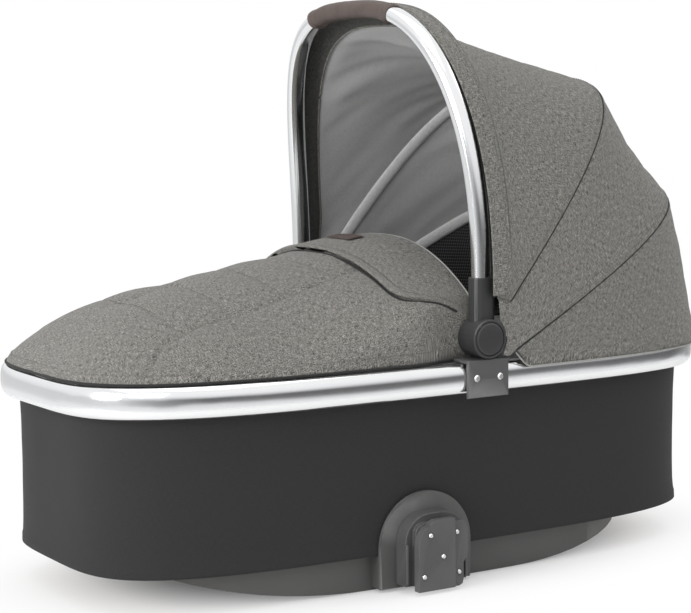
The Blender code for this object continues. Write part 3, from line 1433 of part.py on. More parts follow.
def main():
    clear_scene()
    rear_axis = new_axis("rear_rib_axis", PIVOT)
    mid_axis = new_axis("mid_rib_axis", PIVOT, rear_axis)
    handle_axis = new_axis("handle_axis", PIVOT, mid_axis)
    make_base()
    make_tub()
    make_stays()
    rail_half("rail_foot_half", -1)
    rail_half("rail_head_half", 1)
    for name, side in (("left", 1), ("right", -1)):
        make_adaptor(name, side)
        make_clamp(name, side)
        make_arm(name, side, handle_axis)
    make_handle(handle_axis)
    make_rib(
        "mid_rib", MID_RIB_ANGLE, MID_RIB_REACH, MID_RIB_HALF_WIDTH, MID_RIB_CRANK,
        MID_EYELET_INNER, mid_axis,
    )
    make_rib(
        "rear_rib", REAR_RIB_ANGLE, REAR_RIB_REACH, REAR_RIB_HALF_WIDTH, REAR_RIB_CRANK,
        REAR_EYELET_INNER, rear_axis,
    )
    make_hood(handle_axis, mid_axis, rear_axis)
    make_apron()


main()
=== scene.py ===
"""A pram carrycot, finished for its photograph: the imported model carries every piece,
and the surfaces, cloth and stitching are made here, in the same metres and axes."""

import json
import math

import bmesh
import bpy
from mathutils import Matrix, Vector, kdtree, noise
from mathutils.bvhtree import BVHTree

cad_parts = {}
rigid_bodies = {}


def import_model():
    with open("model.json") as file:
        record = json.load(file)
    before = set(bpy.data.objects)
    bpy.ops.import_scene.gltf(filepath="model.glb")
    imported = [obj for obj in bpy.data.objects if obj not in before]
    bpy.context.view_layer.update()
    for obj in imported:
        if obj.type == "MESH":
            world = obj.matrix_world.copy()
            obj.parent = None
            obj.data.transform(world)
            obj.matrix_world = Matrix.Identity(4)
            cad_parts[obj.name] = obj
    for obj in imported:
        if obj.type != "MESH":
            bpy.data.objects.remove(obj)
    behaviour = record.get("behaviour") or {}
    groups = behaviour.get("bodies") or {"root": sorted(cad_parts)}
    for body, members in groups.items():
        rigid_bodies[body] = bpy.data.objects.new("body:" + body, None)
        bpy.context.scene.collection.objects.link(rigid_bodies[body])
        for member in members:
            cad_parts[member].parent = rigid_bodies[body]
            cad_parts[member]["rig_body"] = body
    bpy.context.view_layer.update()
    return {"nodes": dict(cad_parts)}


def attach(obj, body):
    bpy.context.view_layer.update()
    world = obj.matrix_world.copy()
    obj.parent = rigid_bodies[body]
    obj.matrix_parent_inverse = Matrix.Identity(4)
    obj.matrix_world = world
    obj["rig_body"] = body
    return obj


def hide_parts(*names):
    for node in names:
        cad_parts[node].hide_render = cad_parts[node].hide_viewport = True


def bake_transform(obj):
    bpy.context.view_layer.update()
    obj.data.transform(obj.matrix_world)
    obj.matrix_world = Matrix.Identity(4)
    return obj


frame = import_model()

# The studio: a white floor under soft overhead light, and a camera a little above the
# rail, turned towards the foot end as in the photograph. Polished metal mirrors a pale room
# with a dark band across it.
scene = bpy.context.scene
scene.view_settings.view_transform = "Standard"

lens = bpy.data.cameras.new("studio_camera")
lens.lens = 100.28
lens.sensor_width = 36.0
camera = bpy.data.objects.new("studio_camera", lens)
scene.collection.objects.link(camera)
camera.matrix_world = Matrix((
    (0.85101, 0.06558, -0.52104, -1.1846),
    (-0.52505, 0.08649, -0.84667, -1.8894),
    (-0.01046, 0.99409, 0.10804, 0.5287),
    (0.0, 0.0, 0.0, 1.0),
))
scene.camera = camera


def feed(tree, socket, value):
    """A socket takes another node's output, or a plain value."""
    if isinstance(value, bpy.types.NodeSocket):
        tree.links.new(value, socket)
    else:
        socket.default_value = value


def node(tree, kind, settings=(), **values):
    """A new node, with its properties and what its named inputs take."""
    made = tree.nodes.new(kind)
    for label, value in settings:
        setattr(made, label, value)
    for label, value in values.items():
        feed(tree, made.inputs[label.replace("_", " ")], value)
    return made


def math_node(tree, operation, *values):
    made = node(tree, "ShaderNodeMath", (("operation", operation),))
    for k, value in enumerate(values):
        feed(tree, made.inputs[k], value)
    return made.outputs[0]


def noise_node(tree, where, **values):
    return node(tree, "ShaderNodeTexNoise", Vector=where, **values).outputs["Fac"]


def map_range(tree, value, low, high, first=0.0, last=1.0, kind="LINEAR"):
    """How far a value is on its way from low to high, laid out from first to last."""
    made = node(tree, "ShaderNodeMapRange", (("interpolation_type", kind),), Value=value,
                From_Min=low, From_Max=high, To_Min=first, To_Max=last)
    return made.outputs["Result"]


def mix_colour(tree, share, first, second):
    made = node(tree, "ShaderNodeMix", (("data_type", "RGBA"),))
    for k, value in ((0, share), (6, first), (7, second)):
        feed(tree, made.inputs[k], (*value, 1.0) if isinstance(value, tuple) else value)
    return made.outputs[2]


def mix_shader(tree, share, first, second):
    made = tree.nodes.new("ShaderNodeMixShader")
    for k, value in enumerate((share, first, second)):
        feed(tree, made.inputs[k], value)
    return made.outputs[0]


world = bpy.data.worlds.new("studio_light")
scene.world = world
world.use_nodes = True
sky = world.node_tree
sky.nodes.clear()
sky_ray = sky.nodes.new("ShaderNodeLightPath").outputs
direction = sky.nodes.new("ShaderNodeTexCoord").outputs["Generated"]
height = node(sky, "ShaderNodeSeparateXYZ", Vector=direction).outputs["Z"]
ripple = noise_node(sky, direction, Scale=2.6, Detail=3.0)
uneven = math_node(sky, "MULTIPLY_ADD", ripple, 0.22, height)
uneven = math_node(sky, "SUBTRACT", uneven, 0.11)
bands = node(sky, "ShaderNodeValToRGB", Fac=map_range(sky, uneven, -1.0, 1.0))
ramp = bands.color_ramp.elements
for stop, place, grey in ((ramp[0], 0.30, 0.95), (ramp[1], 0.72, 1.0)):
    stop.position = place
    stop.color = (grey, grey, grey, 1.0)
for place, grey in ((0.395, 0.80), (0.425, 0.16), (0.49, 0.10), (0.535, 0.62), (0.60, 0.92)):
    ramp.new(place).color = (grey, grey, grey * 1.02, 1.0)
facing_window = node(sky, "ShaderNodeVectorMath", (("operation", "DOT_PRODUCT"),))
feed(sky, facing_window.inputs[0], direction)
facing_window.inputs[1].default_value = (0.62, -0.78, 0.0)
banded = map_range(sky, facing_window.outputs["Value"], -0.25, 0.75, 0.30, 1.0)
room = mix_colour(sky, banded, (0.93, 0.94, 0.95), bands.outputs["Color"])
seen = node(sky, "ShaderNodeBackground", Color=(1.0, 1.0, 1.0, 1.0))
lighting = node(sky, "ShaderNodeBackground", Color=(0.99, 0.99, 0.99, 1.0), Strength=0.62)
mirrored = node(sky, "ShaderNodeBackground", Color=room)
lit = mix_shader(sky, sky_ray["Is Glossy Ray"], lighting.outputs[0], mirrored.outputs[0])
whole_sky = mix_shader(sky, sky_ray["Is Camera Ray"], lit, seen.outputs[0])
node(sky, "ShaderNodeOutputWorld", Surface=whole_sky)

for name, place, aim, size, power in (
    ("overhead_light", (-0.2, -0.3, 2.6), (0.0, 0.0, 0.2), 2.4, 25.0),
    ("near_light", (-2.2, -2.4, 1.7), (0.0, 0.0, 0.3), 1.6, 12.0),
    ("foot_light", (-2.6, -0.5, 0.95), (0.2, 0.0, 0.45), 1.2, 34.0),
    ("head_light", (2.4, -1.0, 1.8), (0.1, 0.0, 0.3), 1.4, 8.0),
):
    lamp = bpy.data.lights.new(name, "AREA")
    lamp.energy = power
    lamp.size = size
    holder = bpy.data.objects.new(name, lamp)
    holder.location = place
    holder.rotation_euler = (Vector(aim) - Vector(place)).to_track_quat("-Z", "Y").to_euler()
    scene.collection.objects.link(holder)

# The floor under the cot: matt white, with the cot's shadow on it. Away from the cot it fades
# to plain white for the camera, and to the room for what the metal mirrors.
FLOOR_DEPTH = -0.0004
floor_mesh = bmesh.new()
bmesh.ops.create_grid(floor_mesh, x_segments=2, y_segments=2, size=9.0)
bmesh.ops.translate(floor_mesh, verts=floor_mesh.verts, vec=(0.0, 3.0, FLOOR_DEPTH))
studio_floor = bpy.data.objects.new("studio_floor", bpy.data.meshes.new("studio_floor"))
floor_mesh.to_mesh(studio_floor.data)
floor_mesh.free()
scene.collection.objects.link(studio_floor)
floor_paint = bpy.data.materials.new("white_floor")
floor_paint.use_nodes = True
floor_tree = floor_paint.node_tree
floor_shader = floor_tree.nodes["Principled BSDF"]
floor_shader.inputs["Base Color"].default_value = (0.95, 0.95, 0.95, 1.0)
floor_shader.inputs["Roughness"].default_value = 0.7
floor_shader.inputs["Specular IOR Level"].default_value = 0.1
floor_ray = floor_tree.nodes.new("ShaderNodeLightPath").outputs
floor_place = floor_tree.nodes.new("ShaderNodeTexCoord").outputs["Object"]
floor_shape = node(floor_tree, "ShaderNodeMapping", Vector=floor_place, Scale=(1.0, 1.75, 1.0))
floor_away = node(floor_tree, "ShaderNodeVectorMath", (("operation", "LENGTH"),),
                  Vector=floor_shape.outputs[0])
floor_look = floor_shader.outputs[0]
for near, far, ray, ending in (
    (0.20, 0.54, "Is Camera Ray", "ShaderNodeEmission"),
    (0.90, 1.40, "Is Glossy Ray", "ShaderNodeBsdfTransparent"),
):
    fade = map_range(floor_tree, floor_away.outputs["Value"], near, far, kind="SMOOTHSTEP")
    fade = math_node(floor_tree, "MULTIPLY", fade, floor_ray[ray])
    away_look = floor_tree.nodes.new(ending).outputs[0]
    floor_look = mix_shader(floor_tree, fade, floor_look, away_look)
feed(floor_tree, floor_tree.nodes["Material Output"].inputs[0], floor_look)
studio_floor.data.materials.append(floor_paint)

# The rail: a flat-oval aluminium tube bent to one loop and polished like a mirror. Its two
# halves meet inside the side clamps, which rivet through them.
RAIL_X = -0.00175
RAIL_HALF_LENGTH = 0.41325
RAIL_HALF_WIDTH = 0.205
RAIL_SQUARENESS = 3.76
RAIL_MIDDLE = 0.224
RAIL_HEIGHT = 0.034
RAIL_THICKNESS = 0.019
RAIL_SECTION = 2.6
CLAMP_X = 0.031
HALVES_APART = 0.0003


def even_path(points, count):
    """count + 1 points at even steps along a fine polyline."""
    lengths = [0.0]
    for a, b in zip(points, points[1:]):
        lengths.append(lengths[-1] + (b - a).length)
    result, k = [], 0
    for n in range(count + 1):
        target = lengths[-1] * n / count
        while k < len(points) - 2 and lengths[k + 1] < target:
            k += 1
        share = (target - lengths[k]) / max(lengths[k + 1] - lengths[k], 1e-12)
        result.append(points[k].lerp(points[k + 1], min(share, 1.0)))
    return result


def signed_power(value, power):
    return math.copysign(abs(value) ** power, value)


def rail_outline(inset, height, first=-math.pi, last=math.pi):
    """The rail's outer edge drawn in by inset, from one polar turn to another."""
    fine = 2400
    points = []
    for k in range(fine + 1):
        turn = first + (last - first) * k / fine
        x = signed_power(math.cos(turn), 2 / RAIL_SQUARENESS) * RAIL_HALF_LENGTH
        y = signed_power(math.sin(turn), 2 / RAIL_SQUARENESS) * RAIL_HALF_WIDTH
        nx = signed_power(x / RAIL_HALF_LENGTH, RAIL_SQUARENESS - 1) / RAIL_HALF_LENGTH
        ny = signed_power(y / RAIL_HALF_WIDTH, RAIL_SQUARENESS - 1) / RAIL_HALF_WIDTH
        size = math.hypot(nx, ny)
        points.append(Vector((x - inset * nx / size + RAIL_X, y - inset * ny / size, height)))
    return points


def oval_point(turn, width, height, squareness):
    return (
        signed_power(math.cos(turn), 2 / squareness) * width / 2,
        signed_power(math.sin(turn), 2 / squareness) * height / 2,
    )


def sheet_mesh(name, steps, size, place, merge=False, cap=False, cut=None):
    """A grid of steps[0] by steps[1] faces, laid out by place(u, v), with a UV map in metres.

    The UV map has the given size, or cut(u, v) gives the place of each point on the cloth."""
    bm = bmesh.new()
    bmesh.ops.create_grid(bm, x_segments=steps[0], y_segments=steps[1], size=0.5)
    uv = bm.loops.layers.uv.new("UVMap")
    for face in bm.faces:
        for loop in face.loops:
            u, v = loop.vert.co.x + 0.5, loop.vert.co.y + 0.5
            loop[uv].uv = cut(u, v) if cut else (u * size[0], v * size[1])
    for vert in bm.verts:
        vert.co = place(vert.co.x + 0.5, vert.co.y + 0.5)
    if merge:
        bmesh.ops.remove_doubles(bm, verts=bm.verts, dist=2e-6)
    if cap:
        bmesh.ops.holes_fill(bm, edges=[edge for edge in bm.edges if edge.is_boundary])
    bmesh.ops.recalc_face_normals(bm, faces=bm.faces)
    return finish_mesh(name, bm)


def finish_mesh(name, bm, smooth_below=50.0):
    mesh = bpy.data.meshes.new(name)
    bm.to_mesh(mesh)
    bm.free()
    mesh.shade_smooth()
    mesh.set_sharp_from_angle(angle=math.radians(smooth_below))
    piece = bpy.data.objects.new(name, mesh)
    scene.collection.objects.link(piece)
    return piece


def tube_piece(name, path, outward, section, around):
    """A tube along path, whose section is set by its outward direction at each point."""
    count = len(path) - 1
    frames = []
    for k, point in enumerate(path):
        along = (path[min(k + 1, count)] - path[max(k - 1, 0)]).normalized()
        out = outward(k, point)
        out = (out - along * out.dot(along)).normalized()
        frames.append((point, out, along.cross(out)))

    def place(u, v):
        point, out, side = frames[round(u * count)]
        a, b = section(u, v)
        return point + out * a + side * b

    return sheet_mesh(name, (count, around), (1.0, 0.1), place, merge=True, cap=True)


def dress(piece, material, body=None, bodies=None, stands_for=None):
    """A piece takes its finish and slot, rides one body or, when two bodies are given, keeps its
    place and rides neither, and takes the place of a CAD node."""
    piece.data.materials.append(material)
    if body:
        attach(piece, body)
    else:
        first, last, start, end = bodies
        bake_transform(piece)
        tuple(start)
        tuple(end)
    if stands_for:
        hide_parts(stands_for)
    return piece


def rail_half(name, foot_end):
    loop = even_path(rail_outline(RAIL_THICKNESS / 2, RAIL_MIDDLE), 720)[:-1]
    keep = [p for p in loop if (p.x < CLAMP_X) == foot_end]
    middle = math.pi if foot_end else 0.0
    keep.sort(key=lambda p: math.remainder(math.atan2(p.y, p.x - CLAMP_X) - middle, math.tau))
    start, end = (
        Vector((CLAMP_X - math.copysign(HALVES_APART / 2, foot_end - 0.5), p.y, RAIL_MIDDLE))
        for p in (keep[0], keep[-1])
    )
    path = even_path([start] + keep + [end], 220)

    def outward(k, point):
        x = (point.x - RAIL_X) / (RAIL_HALF_LENGTH - RAIL_THICKNESS / 2)
        y = point.y / (RAIL_HALF_WIDTH - RAIL_THICKNESS / 2)
        nx = signed_power(min(max(x, -1.0), 1.0), RAIL_SQUARENESS - 1) / RAIL_HALF_LENGTH
        ny = signed_power(min(max(y, -1.0), 1.0), RAIL_SQUARENESS - 1) / RAIL_HALF_WIDTH
        return Vector((nx, ny, 0.0)).normalized()

    def section(u, v):
        return oval_point(v * math.tau, RAIL_THICKNESS, RAIL_HEIGHT, RAIL_SECTION)

    piece = tube_piece(name, path, outward, section, around=48)
    dress(piece, mirror_metal, body="cot",
          stands_for=name.replace("polished_", ""))


def surface_group(name, colours, numbers):
    """Opens a shader group that takes colours and numbers; returns it and what it is given."""
    tree = bpy.data.node_groups.new(name, "ShaderNodeTree")
    for kind, sockets in (("NodeSocketColor", colours), ("NodeSocketFloat", numbers)):
        for label, value in sockets.items():
            socket = tree.interface.new_socket(name=label, in_out="INPUT", socket_type=kind)
            socket.default_value = (*value, 1.0) if isinstance(value, tuple) else value
    return tree, tree.nodes.new("NodeGroupInput").outputs


def close_group(tree, colour, roughness, height):
    """Closes a shader group, which gives each finish its colour, roughness and height."""
    results = {"Colour": colour, "Roughness": roughness, "Height": height}
    for label in results:
        kind = "NodeSocketColor" if label == "Colour" else "NodeSocketFloat"
        tree.interface.new_socket(name=label, in_out="OUTPUT", socket_type=kind)
    node(tree, "NodeGroupOutput", **results)
    return tree


def shaded(tree, colour, level):
    """A colour made lighter or darker by a level."""
    made = node(tree, "ShaderNodeVectorMath", (("operation", "SCALE"),), Scale=level)
    feed(tree, made.inputs[0], colour)
    return made.outputs[0]


def metal_polish_group():
    """Faint haze, finger marks and rubbing lines on a polished metal surface."""
    tree, given = surface_group(
        "metal_polish", {"Colour": (0.8, 0.8, 0.8)}, {"Smoothness": 0.05, "Haze": 0.06}
    )
    where = tree.nodes.new("ShaderNodeTexCoord").outputs["Object"]
    marks = noise_node(tree, where, Scale=26.0, Detail=4.0, Roughness=0.6)
    rubbing = noise_node(tree, where, Scale=900.0, Detail=2.0)
    haze = math_node(tree, "MULTIPLY", marks, given["Haze"])
    rough = math_node(tree, "ADD", haze, given["Smoothness"])
    dull = math_node(tree, "MULTIPLY_ADD", marks, -0.06, 1.03)
    return close_group(tree, shaded(tree, given["Colour"], dull), rough, rubbing)


metal_polish = metal_polish_group()


def finish_material(name, group, values, bump, strength, metallic=0.0, **sockets):
    """A Principled material that takes colour, roughness and relief from a group."""
    material = bpy.data.materials.new(name)
    material.use_nodes = True
    tree = material.node_tree
    shader = tree.nodes["Principled BSDF"]
    shader.inputs["Metallic"].default_value = metallic
    for label, value in sockets.items():
        shader.inputs[label.replace("_", " ")].default_value = value
    look = tree.nodes.new("ShaderNodeGroup")
    look.node_tree = group
    look.name = "look"
    for label, value in values.items():
        look.inputs[label].default_value = (*value, 1.0) if isinstance(value, tuple) else value
    relief = node(tree, "ShaderNodeBump", Distance=bump, Strength=strength,
                  Height=look.outputs["Height"])
    feed(tree, shader.inputs["Base Color"], look.outputs["Colour"])
    feed(tree, shader.inputs["Roughness"], look.outputs["Roughness"])
    feed(tree, shader.inputs["Normal"], relief.outputs["Normal"])
    return material


def polished_metal(name, colour, smoothness, haze, bump=0.00005, strength=0.2):
    return finish_material(
        name, metal_polish, {"Colour": colour, "Smoothness": smoothness, "Haze": haze},
        bump, strength, metallic=1.0,
    )


mirror_metal = polished_metal(
    "mirror_metal", (0.88, 0.885, 0.89), 0.10, 0.08, bump=0.00002, strength=0.1
)
rail_half("polished_rail_foot_half", True)
rail_half("polished_rail_head_half", False)

# Rivets, screws, pins and end stays: zinc plated steel, bright but not mirrored. The rivets'
# heads are rounded off, and the button springs are plain drawn wire.
RIVET_EDGE = 0.00035
zinc_steel = polished_metal("zinc_steel", (0.70, 0.70, 0.69), 0.20, 0.16)
spring_wire = polished_metal("spring_wire", (0.40, 0.41, 0.42), 0.28, 0.12)


def paint_node(name, material):
    """A CAD node that keeps its own shape takes a finish."""
    cad = frame["nodes"][name]
    if cad.data.materials:
        cad.material_slots[0].material = material
    else:
        cad.data.materials.append(material)


def rounded_copy(name, new_name, width, material, angle=28.0, segments=2):
    """A CAD node's mesh, merged, with its edges rounded off as a mould leaves them."""
    cad = frame["nodes"][name]
    bm = bmesh.new()
    bm.from_mesh(cad.data)
    bmesh.ops.remove_doubles(bm, verts=bm.verts, dist=2e-6)
    bmesh.ops.dissolve_limit(
        bm, angle_limit=math.radians(0.6), verts=bm.verts, edges=bm.edges
    )
    piece = finish_mesh(new_name, bm, smooth_below=34.0)
    edge = piece.modifiers.new("mould_edge", "BEVEL")
    edge.width = width
    edge.segments = segments
    edge.limit_method = "ANGLE"
    edge.angle_limit = math.radians(angle)
    edge.harden_normals = False
    edge.miter_outer = "MITER_ARC"
    dress(piece, material, body=cad["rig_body"], stands_for=name)


for name in frame["nodes"]:
    if "rivet" in name:
        rounded_copy(name, name.replace("rivet", "rivet_head"), RIVET_EDGE, zinc_steel)
    elif "screw" in name or name.startswith("pivot_pin") or name.endswith("_stay"):
        paint_node(name, zinc_steel)
    elif name.startswith("button_spring"):
        paint_node(name, spring_wire)


# Moulded plastic: the rocker base and adaptors in a mid grey, the joint pieces darker. The
# moulds leave a fine grain, and handling has rubbed the edges a little paler.
def moulded_grain_group():
    tree, given = surface_group(
        "moulded_grain", {"Colour": (0.1, 0.1, 0.1)},
        {"Roughness": 0.5, "Grain": 900.0, "Edge Wear": 0.3, "Dust": 0.2},
    )
    where = tree.nodes.new("ShaderNodeTexCoord").outputs["Object"]
    grain = noise_node(tree, where, Scale=given["Grain"], Detail=3.0, Roughness=0.65)
    cloud = noise_node(tree, where, Scale=14.0, Detail=5.0, Roughness=0.6)
    shape = tree.nodes.new("ShaderNodeNewGeometry").outputs
    rubbed = map_range(tree, shape["Pointiness"], 0.52, 0.66)
    rubbed = math_node(tree, "MULTIPLY", rubbed, given["Edge Wear"])
    rubbed = math_node(tree, "MULTIPLY", rubbed, cloud)
    pale = mix_colour(tree, rubbed, given["Colour"], (0.34, 0.34, 0.34))
    speck = math_node(tree, "MULTIPLY_ADD", grain, 0.30, 0.86)
    shade = math_node(tree, "MULTIPLY_ADD", cloud, 0.22, 0.89)
    plain = shaded(tree, pale, math_node(tree, "MULTIPLY", speck, shade))
    up = node(tree, "ShaderNodeSeparateXYZ", Vector=shape["Normal"]).outputs["Z"]
    lying = math_node(tree, "MAXIMUM", up, 0.0)
    lying = math_node(tree, "MULTIPLY", lying, given["Dust"])
    lying = math_node(tree, "MULTIPLY", lying, cloud)
    dusty = mix_colour(tree, lying, plain, (0.30, 0.29, 0.27))
    rough = math_node(tree, "MULTIPLY_ADD", cloud, 0.16, -0.08)
    rough = math_node(tree, "ADD", rough, given["Roughness"])
    return close_group(tree, dusty, rough, grain)


moulded_grain = moulded_grain_group()


def moulded(name, colour, roughness, grain, wear, dust, bump, strength, **sockets):
    return finish_material(
        name, moulded_grain,
        {"Colour": colour, "Roughness": roughness, "Grain": grain, "Edge Wear": wear,
         "Dust": dust},
        bump, strength, **sockets,
    )


base_plastic = moulded(
    "base_plastic", (0.082, 0.082, 0.080), 0.50, 1500.0, 0.5, 0.12, 0.00025, 0.35
)
block_plastic = moulded(
    "block_plastic", (0.058, 0.058, 0.058), 0.50, 1500.0, 0.5, 0.12, 0.00025, 0.35
)
plate_plastic = moulded(
    "plate_plastic", (0.074, 0.074, 0.077), 0.46, 1600.0, 0.6, 0.10, 0.0002, 0.28
)
joint_plastic = moulded(
    "joint_plastic", (0.033, 0.033, 0.035), 0.44, 1800.0, 0.6, 0.10, 0.0002, 0.28,
    Specular_IOR_Level=0.35,
)
MOULD_EDGE = 0.0007
PLATE_EDGE = 0.0008
ARM_EDGE = 0.0022
BUTTON_EDGE = 0.0005
rounded_copy("rocker_base", "rocker_tray", MOULD_EDGE, base_plastic)
for side in ("left", "right"):
    rounded_copy(f"adaptor_block_{side}", f"adaptor_body_{side}", MOULD_EDGE, block_plastic)
    rounded_copy(f"adaptor_plate_{side}", f"adaptor_front_{side}", PLATE_EDGE, plate_plastic)
    rounded_copy(f"clamp_{side}", f"rail_clamp_{side}", MOULD_EDGE, plate_plastic)
    rounded_copy(f"arm_{side}", f"handle_arm_{side}", ARM_EDGE, joint_plastic,
                 angle=12.0, segments=4)
    rounded_copy(f"button_{side}", f"release_button_{side}", BUTTON_EDGE, joint_plastic,
                 angle=20.0)
for name in frame["nodes"]:
    if name.startswith("stay_socket"):
        paint_node(name, joint_plastic)

# The base board under the mattress: pressed wood fibre, brown and dull, screwed down to the
# rocker base.
board_fibre = moulded("board_fibre", (0.26, 0.19, 0.12), 0.78, 700.0, 0.2, 0.1, 0.0003, 0.4)
paint_node("base_board", board_fibre)


# Woven cloth: two yarns cross at right angles, each a little uneven in colour, so the hood
# and apron look like a grey-green melange and the tub like plain charcoal canvas.
def woven_cloth_group():
    tree, given = surface_group(
        "woven_cloth", {"Warp": (0.2, 0.2, 0.2), "Weft": (0.1, 0.1, 0.1)},
        {"Threads": 1100.0, "Slub": 0.6, "Roughness": 0.9},
    )
    where = tree.nodes.new("ShaderNodeTexCoord").outputs["UV"]
    split = node(tree, "ShaderNodeSeparateXYZ", Vector=where).outputs
    waves, yarns = [], []
    for axis, stretch in (("X", (150.0, 1600.0, 1.0)), ("Y", (1600.0, 150.0, 1.0))):
        turn = math_node(tree, "MULTIPLY", split[axis], given["Threads"])
        waves.append(math_node(tree, "SINE", math_node(tree, "MULTIPLY", turn, math.pi)))
        lay = node(tree, "ShaderNodeMapping", Vector=where, Scale=stretch).outputs[0]
        yarns.append(noise_node(tree, lay, Scale=1.0, Detail=2.0, Roughness=0.5))
    cross = math_node(tree, "MULTIPLY", *waves)
    over = math_node(tree, "MULTIPLY_ADD", cross, 0.5, 0.5)
    pick = mix_colour(tree, over, given["Warp"], given["Weft"])
    streak = math_node(tree, "SUBTRACT", math_node(tree, "ADD", *yarns), 1.0)
    streak = math_node(tree, "MULTIPLY", streak, given["Slub"])
    streak = math_node(tree, "MULTIPLY_ADD", streak, 3.6, 1.0)
    fleck = noise_node(tree, where, Scale=900.0, Detail=2.0, Roughness=0.8)
    fleck = math_node(tree, "SUBTRACT", fleck, 0.5)
    fleck = math_node(tree, "MULTIPLY", fleck, given["Slub"])
    fleck = math_node(tree, "MULTIPLY_ADD", fleck, 5.0, 1.0)
    level = math_node(tree, "MAXIMUM", math_node(tree, "MULTIPLY", streak, fleck), 0.15)
    rough = math_node(tree, "MULTIPLY_ADD", fleck, 0.03, given["Roughness"])
    raised = math_node(tree, "ABSOLUTE", cross)
    return close_group(tree, shaded(tree, pick, level), rough, raised)


woven_cloth = woven_cloth_group()


def woven(name, warp, weft, threads, slub, roughness, bump, strength, **sockets):
    return finish_material(
        name, woven_cloth,
        {"Warp": warp, "Weft": weft, "Threads": threads, "Slub": slub, "Roughness": roughness},
        bump, strength, **sockets,
    )


melange_cloth = woven(
    "melange_cloth", (0.204, 0.198, 0.182), (0.154, 0.150, 0.139), 1700.0, 0.85, 0.88,
    0.0002, 0.4, Sheen_Weight=0.12, Sheen_Roughness=0.5, Specular_IOR_Level=0.25,
)
charcoal_cloth = woven(
    "charcoal_cloth", (0.030, 0.030, 0.0298), (0.0245, 0.0245, 0.0245), 1900.0, 0.12, 0.86,
    0.0002, 0.3, Sheen_Weight=0.06, Sheen_Roughness=0.5, Specular_IOR_Level=0.25,
)
satin_lining = woven(
    "satin_lining", (0.46, 0.46, 0.46), (0.40, 0.40, 0.40), 2600.0, 0.12, 0.50,
    0.0001, 0.2, Sheen_Weight=0.25, Sheen_Roughness=0.35,
)


# The tub: a charcoal canvas wall that hangs from the rail, with a doubled hem above the
# base board, held out by the board below and the rail above, and one upright seam.
TUB_INSET = 0.0193
TUB_LOW = 0.0405
TUB_HIGH = 0.236
TUB_CLOTH = 0.0026
TUB_SEAM_X = -0.010
TUB_HEM_SHARE = 0.055


def line_length(points):
    return sum((b - a).length for a, b in zip(points, points[1:]))


def cloth_relief(point, size, depth):
    """A small smooth rise and fall, the same on each run."""
    return depth * noise.noise(point / size)


def ridge(distance, width):
    """1 on a line, falling away smoothly beside it."""
    return math.exp(-(distance / width) ** 2)


def within(share):
    return min(max(share, 0.0), 1.0)


def with_normals(points):
    """Each point of a closed loop, with the direction out of it."""
    count = len(points) - 1
    pairs = []
    for k, point in enumerate(points):
        before = points[k - 1] if k > 0 else points[count - 1]
        after = points[k + 1] if k < count else points[1]
        along = (after - before).normalized()
        pairs.append((point, Vector((along.y, -along.x, 0.0))))
    return pairs


def give_thickness(piece, name, thickness, offset=-1.0):
    wall = piece.modifiers.new(name, "SOLIDIFY")
    wall.thickness = thickness
    wall.offset = offset


tub_points = even_path(rail_outline(TUB_INSET, 0.0), 640)
tub_loop = with_normals(tub_points)


def tub_place(u, v):
    point, normal = tub_loop[round(u * (len(tub_loop) - 1))]
    level = TUB_LOW + (TUB_HIGH - TUB_LOW) * v
    waist = 0.0012 * math.sin(math.pi * within((v - 0.05) / 0.8)) ** 0.5
    hem = 0.0006 if v < TUB_HEM_SHARE else 0.0
    ripple = cloth_relief(Vector((point.x, point.y, level * 0.8)), 0.12, 0.0013)
    ripple += cloth_relief(Vector((point.x, point.y, level * 1.4)), 0.045, 0.0003)
    fade = min(1.0, v / 0.12, (1.0 - v) / 0.3)
    seam = 0.0009 * ridge(point.x - TUB_SEAM_X, 0.0016) if point.y < 0.0 else 0.0
    inward = waist - hem + seam + (0.0011 - ripple) * max(fade, 0.0)
    return Vector((point.x, point.y, level)) - normal * inward


tub_length = line_length(tub_points)
tub_cloth = sheet_mesh(
    "tub_cloth", (640, 72), (tub_length, TUB_HIGH - TUB_LOW), tub_place, merge=True
)
give_thickness(tub_cloth, "cloth_thickness", TUB_CLOTH)
dress(tub_cloth, charcoal_cloth, body="cot", stands_for="tub_wall")


# The lining of the cabin: grey satin inside the tub, gathered a little where it turns over
# the tub wall under the rail.
LINER_OUT = 0.0319
LINER_THICK = 0.004
LINER_LOW = 0.0458
LINER_HIGH = 0.2398
LINER_TURN = 0.012
LINER_TURN_SHARE = 0.85
SATIN_LAYER = 0.0014

outer_points = even_path(rail_outline(0.0, 0.0), 480)
outer_loop = with_normals(outer_points)


def liner_place(u, v):
    point, normal = outer_loop[round(u * (len(outer_loop) - 1))]
    if v < LINER_TURN_SHARE:
        share = v / LINER_TURN_SHARE
        level = LINER_LOW + (LINER_HIGH - LINER_TURN - LINER_LOW) * share
        inset = LINER_OUT + LINER_THICK - 0.0006
        folds = cloth_relief(Vector((point.x, point.y, level * 0.4)), 0.022, 0.0016)
        inset += folds * math.sin(math.pi * share) - 0.0008
    else:
        share = (v - LINER_TURN_SHARE) / (1 - LINER_TURN_SHARE)
        level = LINER_HIGH - LINER_TURN * (1 - share)
        inset = LINER_OUT + LINER_THICK - 0.0014 - 0.0090 * share ** 1.5
    return Vector((point.x, point.y, level)) - normal * inset


liner_length = line_length(outer_points)
cabin_lining = sheet_mesh(
    "cabin_lining", (480, 40), (liner_length, LINER_HIGH - LINER_LOW), liner_place, merge=True
)
give_thickness(cabin_lining, "cloth_thickness", SATIN_LAYER, offset=1.0)
dress(cabin_lining, satin_lining, body="cot", stands_for="liner")


